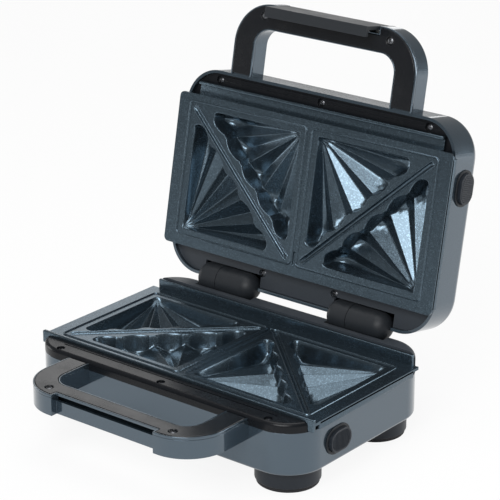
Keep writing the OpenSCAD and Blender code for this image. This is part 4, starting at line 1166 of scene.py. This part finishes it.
class TOASTER_OT_buttons(bpy.types.Operator):
    """Ribbed release buttons and their surrounds"""

    bl_idname = "toaster.buttons"
    bl_label = "Buttons"

    def execute(self, context):
        tree = rib_tree()
        pitch = context.scene.toaster_sizes.rib_pitch
        for part, place in (("base", BASE_PLACE), ("lid", lid_place())):
            node, bezel = part + "_button", part + "_button_bezel"
            work = merged(node)
            for vert in work.verts:
                if vert.co.x > 134.5 * MM:
                    vert.co.x -= 0.7 * MM
            mesh = softened(mesh_from(work, node), 0.5, 3)
            mesh = with_ribs(mesh, tree, Vector((133.9, -34.0, 34.0)), place, pitch)
            name = part + "_release_button"
            add_piece(name, mesh, "charcoal_plastic", [node])
            dressed(bezel, part + "_button_surround", "matt_black", 0.25)
        return {"FINISHED"}


class TOASTER_OT_feet(bpy.types.Operator):
    """Feet and their rubber pads"""

    bl_idname = "toaster.feet"
    bl_label = "Feet"

    def execute(self, context):
        dressed("feet", "foot_mouldings", "charcoal_plastic", 0.7, 3)
        dressed("foot_pads", "foot_pad_rings", "foot_rubber", 0.6, 3)
        return {"FINISHED"}


class TOASTER_OT_latch(bpy.types.Operator):
    """Latch on the lid handle"""

    bl_idname = "toaster.latch"
    bl_label = "Latch"

    def execute(self, context):
        dressed("latch", "latch_bar", "matt_black", 0.5, 3)
        return {"FINISHED"}


# where the screws are, in base coordinates
RIM_X = (-101.0, 0.0, 101.0)
REAR_X = (-35.5, 35.5)
GRIP_X = (-60.0, 60.0)
GRIP_Y = -134.0
LID_RIM_Z = 44.2


class TOASTER_OT_screws(bpy.types.Operator):
    """Screws that show"""

    bl_idname = "toaster.screws"
    bl_label = "Screws"

    def execute(self, context):
        tree = screw_tree()
        lid = lid_place()
        rim = [(x, -78.0, 54.7) for x in RIM_X]
        lid_rim = [(x, -75.5, LID_RIM_Z) for x in RIM_X] + [(x, 69.0, LID_RIM_Z) for x in REAR_X]
        grip = [(x, GRIP_Y, 54.0) for x in GRIP_X]
        lid_grip = [(x, GRIP_Y, 51.0) for x in GRIP_X]
        for name, node, place, spots, shank in (
            ("rim_screws", "base_frame_screws", BASE_PLACE, rim, 18.0),
            ("lid_rim_screws", "lid_frame_screws", lid, lid_rim, 11.0),
            ("base_grip_screws", "base_handle_screws", BASE_PLACE, grip, 9.0),
            ("lid_grip_screws", "lid_handle_screws", lid, lid_grip, 9.0),
        ):
            facing = (place.to_3x3() @ Vector((0, 0, 1))).normalized()
            screws(name, node, tree, [place @ Vector(spot) for spot in spots], facing, shank)
        return {"FINISHED"}


class TOASTER_OT_lamps(bpy.types.Operator):
    """Indicator lenses on top of the lid"""

    bl_idname = "toaster.lamps"
    bl_label = "Lamps"

    def execute(self, context):
        dressed("indicator_lenses", "lamp_lenses", "red_lens", 0.3, 3)
        return {"FINISHED"}


class TOASTER_OT_insides(bpy.types.Operator):
    """Finishes of the pieces inside the housings"""

    bl_idname = "toaster.insides"
    bl_label = "Insides"

    def execute(self, context):
        for nodes, finish, slot in INSIDES:
            for node in nodes:
                target = frame["nodes"][node]
                target.data.materials.clear()
                target.data.materials.append(FINISHES[finish])
        for node, held, pushed, start, end in SPRINGS:
            name = node.replace("spring", "leaf")
            mesh = mesh_from(merged(node), name)
            leaf = add_piece(name, mesh, "spring_steel", [node], rides=False)
            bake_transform(leaf, held, pushed, start=start, end=end)
        return {"FINISHED"}


# each leaf spring: its node, the body that holds its feet, the body that pushes its bow,
# and where along it the feet end and the bow begins, in metres
SPRINGS = (
    ("base_button_spring", "base", "base_button",
     (0.12705, -0.034, 0.028), (0.1253, -0.034, 0.028)),
    ("lid_button_spring", "lid", "lid_button", (0.12705, 0.125, 0.182), (0.1253, 0.125, 0.182)),
    ("latch_spring", "lid", "latch", (0.0, 0.1273, 0.288), (0.0, 0.1318, 0.288)),
)

INSIDES = (
    (("base_reflector", "lid_reflector"), "foil_tray", "foil"),
    (("base_element", "lid_element"), "heater_tube", "steel"),
    (("base_element_clips", "lid_element_clips"), "bright_steel", "steel"),
    (("base_plate_clips", "lid_plate_clips"), "spring_steel", "steel"),
    (("base_handle_bolts", "lid_handle_bolts", "base_hinge_screws"), "bright_steel", "steel"),
    (("foot_screws", "latch_pin"), "bright_steel", "steel"),
    (("thermostat", "thermal_fuse"), "bright_steel", "steel"),
    (("terminal_block",), "white_ceramic", "ceramic"),
    (("cord_gland",), "foot_rubber", "rubber"),
    (("indicator_board",), "board_laminate", "board"),
)


# ---------- stage ----------

WHITE = (1.0, 1.0, 1.0, 1.0)
FLOOR_HALF = 3.0
# How much of the floor's own white shows, and how bright the air is to rays that don't see it.
FLOOR_SHOWN = 0.9
FLOOR_IN_GLOSS = 0.55
AIR = 0.24
# The camera: its bearing and height in degrees, its distance and aim in metres, and its lens.
CAMERA_BEARING = 38.85
CAMERA_HEIGHT = 20.64
CAMERA_REACH = 1.6304
CAMERA_AIM = Vector((0.01385, 0.00955, 0.13877))
SENSOR = 36.0
FOCAL_PIXELS = 2176.5
PICTURE_PIXELS = 500.0

# each lamp: its name, place, aim, side and watts
LAMPS = (
    ("overhead", (-0.15, 0.1, 1.5), (0, 0, 0.1), 1.1, 9.0),
    ("right_side", (1.25, 0.95, 0.5), (0, 0, 0.15), 0.9, 14.0),
    ("front_key", (0.42, -1.15, 1.02), (0, 0, 0.15), 0.85, 17.5),
    ("left_fill", (-1.35, -0.35, 0.25), (0, 0, 0.12), 0.5, 3.0),
    ("back_card", (-0.95, 1.2, 0.6), (0, -0.05, 0.05), 0.8, 2.4),
)


class TOASTER_OT_stage(bpy.types.Operator):
    """Floor, soft lights and camera"""

    bl_idname = "toaster.stage"
    bl_label = "Stage"

    def execute(self, context):
        build_floor(context.scene.toaster_colours.floor)
        build_air(context.scene)
        for name, place, aim, side, watts in LAMPS:
            lamp = bpy.data.lights.new(name, "AREA")
            lamp.shape = "SQUARE"
            lamp.size = side
            lamp.energy = watts
            holder = linked(name, lamp)
            holder.location = place
            way = Vector(aim) - Vector(place)
            holder.rotation_euler = way.to_track_quat("-Z", "Y").to_euler()
        build_camera(context.scene)
        context.scene.view_settings.view_transform = "Standard"
        return {"FINISHED"}


def shown_rays(tree):
    """One for rays that the viewer sees straight on or through glass, else zero."""
    path = tree.nodes.new("ShaderNodeLightPath")
    straight = Flow(tree, path.outputs["Is Camera Ray"])
    return straight.larger(path.outputs["Is Transmission Ray"])


def mixed_shaders(tree, share, first, second):
    """Two shaders, mixed by the share of the second."""
    made = tree.nodes.new("ShaderNodeMixShader")
    for number, value in enumerate((share, first, second)):
        feed(tree, made, number, value)
    return made


def build_floor(tint):
    """A plain pale floor."""
    mesh = bpy.data.meshes.new("studio_floor")
    signs = ((-1, -1), (1, -1), (1, 1), (-1, 1))
    corners = [(x * FLOOR_HALF, y * FLOOR_HALF, 0) for x, y in signs]
    mesh.from_pydata(corners, [], [(0, 1, 2, 3)])
    floor = linked("studio_floor", mesh)
    material = bpy.data.materials.new("studio_paper")
    material.use_nodes = True
    tree = material.node_tree
    paper = tree.nodes["Principled BSDF"]
    feed(tree, paper, "Roughness", 0.9)
    feed(tree, paper, "Specular IOR Level", 0.1)
    paint = mixed(tree, noise(tree, 14.0, 3.0), tinted(tint, 0.985), tinted(tint, 1.015))
    feed(tree, paper, "Base Color", paint)
    lit = add_node(tree, "ShaderNodeEmission", Color=WHITE, Strength=1.0)
    path = tree.nodes.new("ShaderNodeLightPath")
    glossy = Flow(tree, path.outputs["Is Glossy Ray"]) * FLOOR_IN_GLOSS
    share = (shown_rays(tree) * FLOOR_SHOWN).larger(glossy)
    surface = mixed_shaders(tree, share, paper, lit)
    feed(tree, tree.nodes["Material Output"], "Surface", surface)
    mesh.materials.append(material)


def build_air(scene):
    """A world that is white where it is seen, and dimmer as a light and in reflections."""
    world = bpy.data.worlds.new("studio_air")
    scene.world = world
    world.use_nodes = True
    tree = world.node_tree
    tree.nodes.clear()
    soft, seen = [
        add_node(tree, "ShaderNodeBackground", Color=WHITE, Strength=strength)
        for strength in (AIR, 1.0)
    ]
    surface = mixed_shaders(tree, shown_rays(tree), soft, seen)
    add_node(tree, "ShaderNodeOutputWorld", Surface=surface)


def build_camera(scene):
    """The camera, in front and to the right."""
    camera = linked("front_right_camera", bpy.data.cameras.new("front_right_camera"))
    bearing, height = math.radians(CAMERA_BEARING), math.radians(CAMERA_HEIGHT)
    flat = math.cos(height)
    back = Vector((math.sin(bearing) * flat, -math.cos(bearing) * flat, math.sin(height)))
    camera.location = CAMERA_AIM + back * CAMERA_REACH
    camera.rotation_mode = "QUATERNION"
    camera.rotation_quaternion = (-back).to_track_quat("-Z", "Y")
    camera.data.sensor_width = SENSOR
    camera.data.lens = SENSOR * FOCAL_PIXELS / PICTURE_PIXELS
    camera.data.clip_start = 0.05
    camera.data.clip_end = 30.0
    scene.camera = camera


STEPS = (
    TOASTER_OT_stage,
    TOASTER_OT_insides,
    TOASTER_OT_housings,
    TOASTER_OT_rims,
    TOASTER_OT_handles,
    TOASTER_OT_plates,
    TOASTER_OT_hinges,
    TOASTER_OT_buttons,
    TOASTER_OT_feet,
    TOASTER_OT_latch,
    TOASTER_OT_screws,
    TOASTER_OT_lamps,
)


class TOASTER_PT_sidebar(bpy.types.Panel):
    """Lists the steps that make the toaster"""

    bl_label = "Sandwich toaster"
    bl_space_type = "VIEW_3D"
    bl_region_type = "UI"
    bl_category = "Toaster"

    def draw(self, context):
        layout = self.layout
        for settings in (context.scene.toaster_sizes, context.scene.toaster_colours):
            for key in settings.__annotations__:
                layout.prop(settings, key)
        for step in STEPS:
            layout.operator(step.bl_idname)


CLASSES = (ToasterSizes, ToasterColours, *STEPS, TOASTER_PT_sidebar)


def register():
    for kind in CLASSES:
        bpy.utils.register_class(kind)
    bpy.types.Scene.toaster_sizes = bpy.props.PointerProperty(type=ToasterSizes)
    bpy.types.Scene.toaster_colours = bpy.props.PointerProperty(type=ToasterColours)


def unregister():
    del bpy.types.Scene.toaster_colours
    del bpy.types.Scene.toaster_sizes
    for kind in reversed(CLASSES):
        bpy.utils.unregister_class(kind)


def main():
    """Makes the whole toaster, step by step."""
    register()
    build_groups()
    build_finishes(bpy.context.scene.toaster_colours)
    for step in STEPS:
        group, action = step.bl_idname.split(".")
        getattr(getattr(bpy.ops, group), action)()


if __name__ == "__main__":
    main()
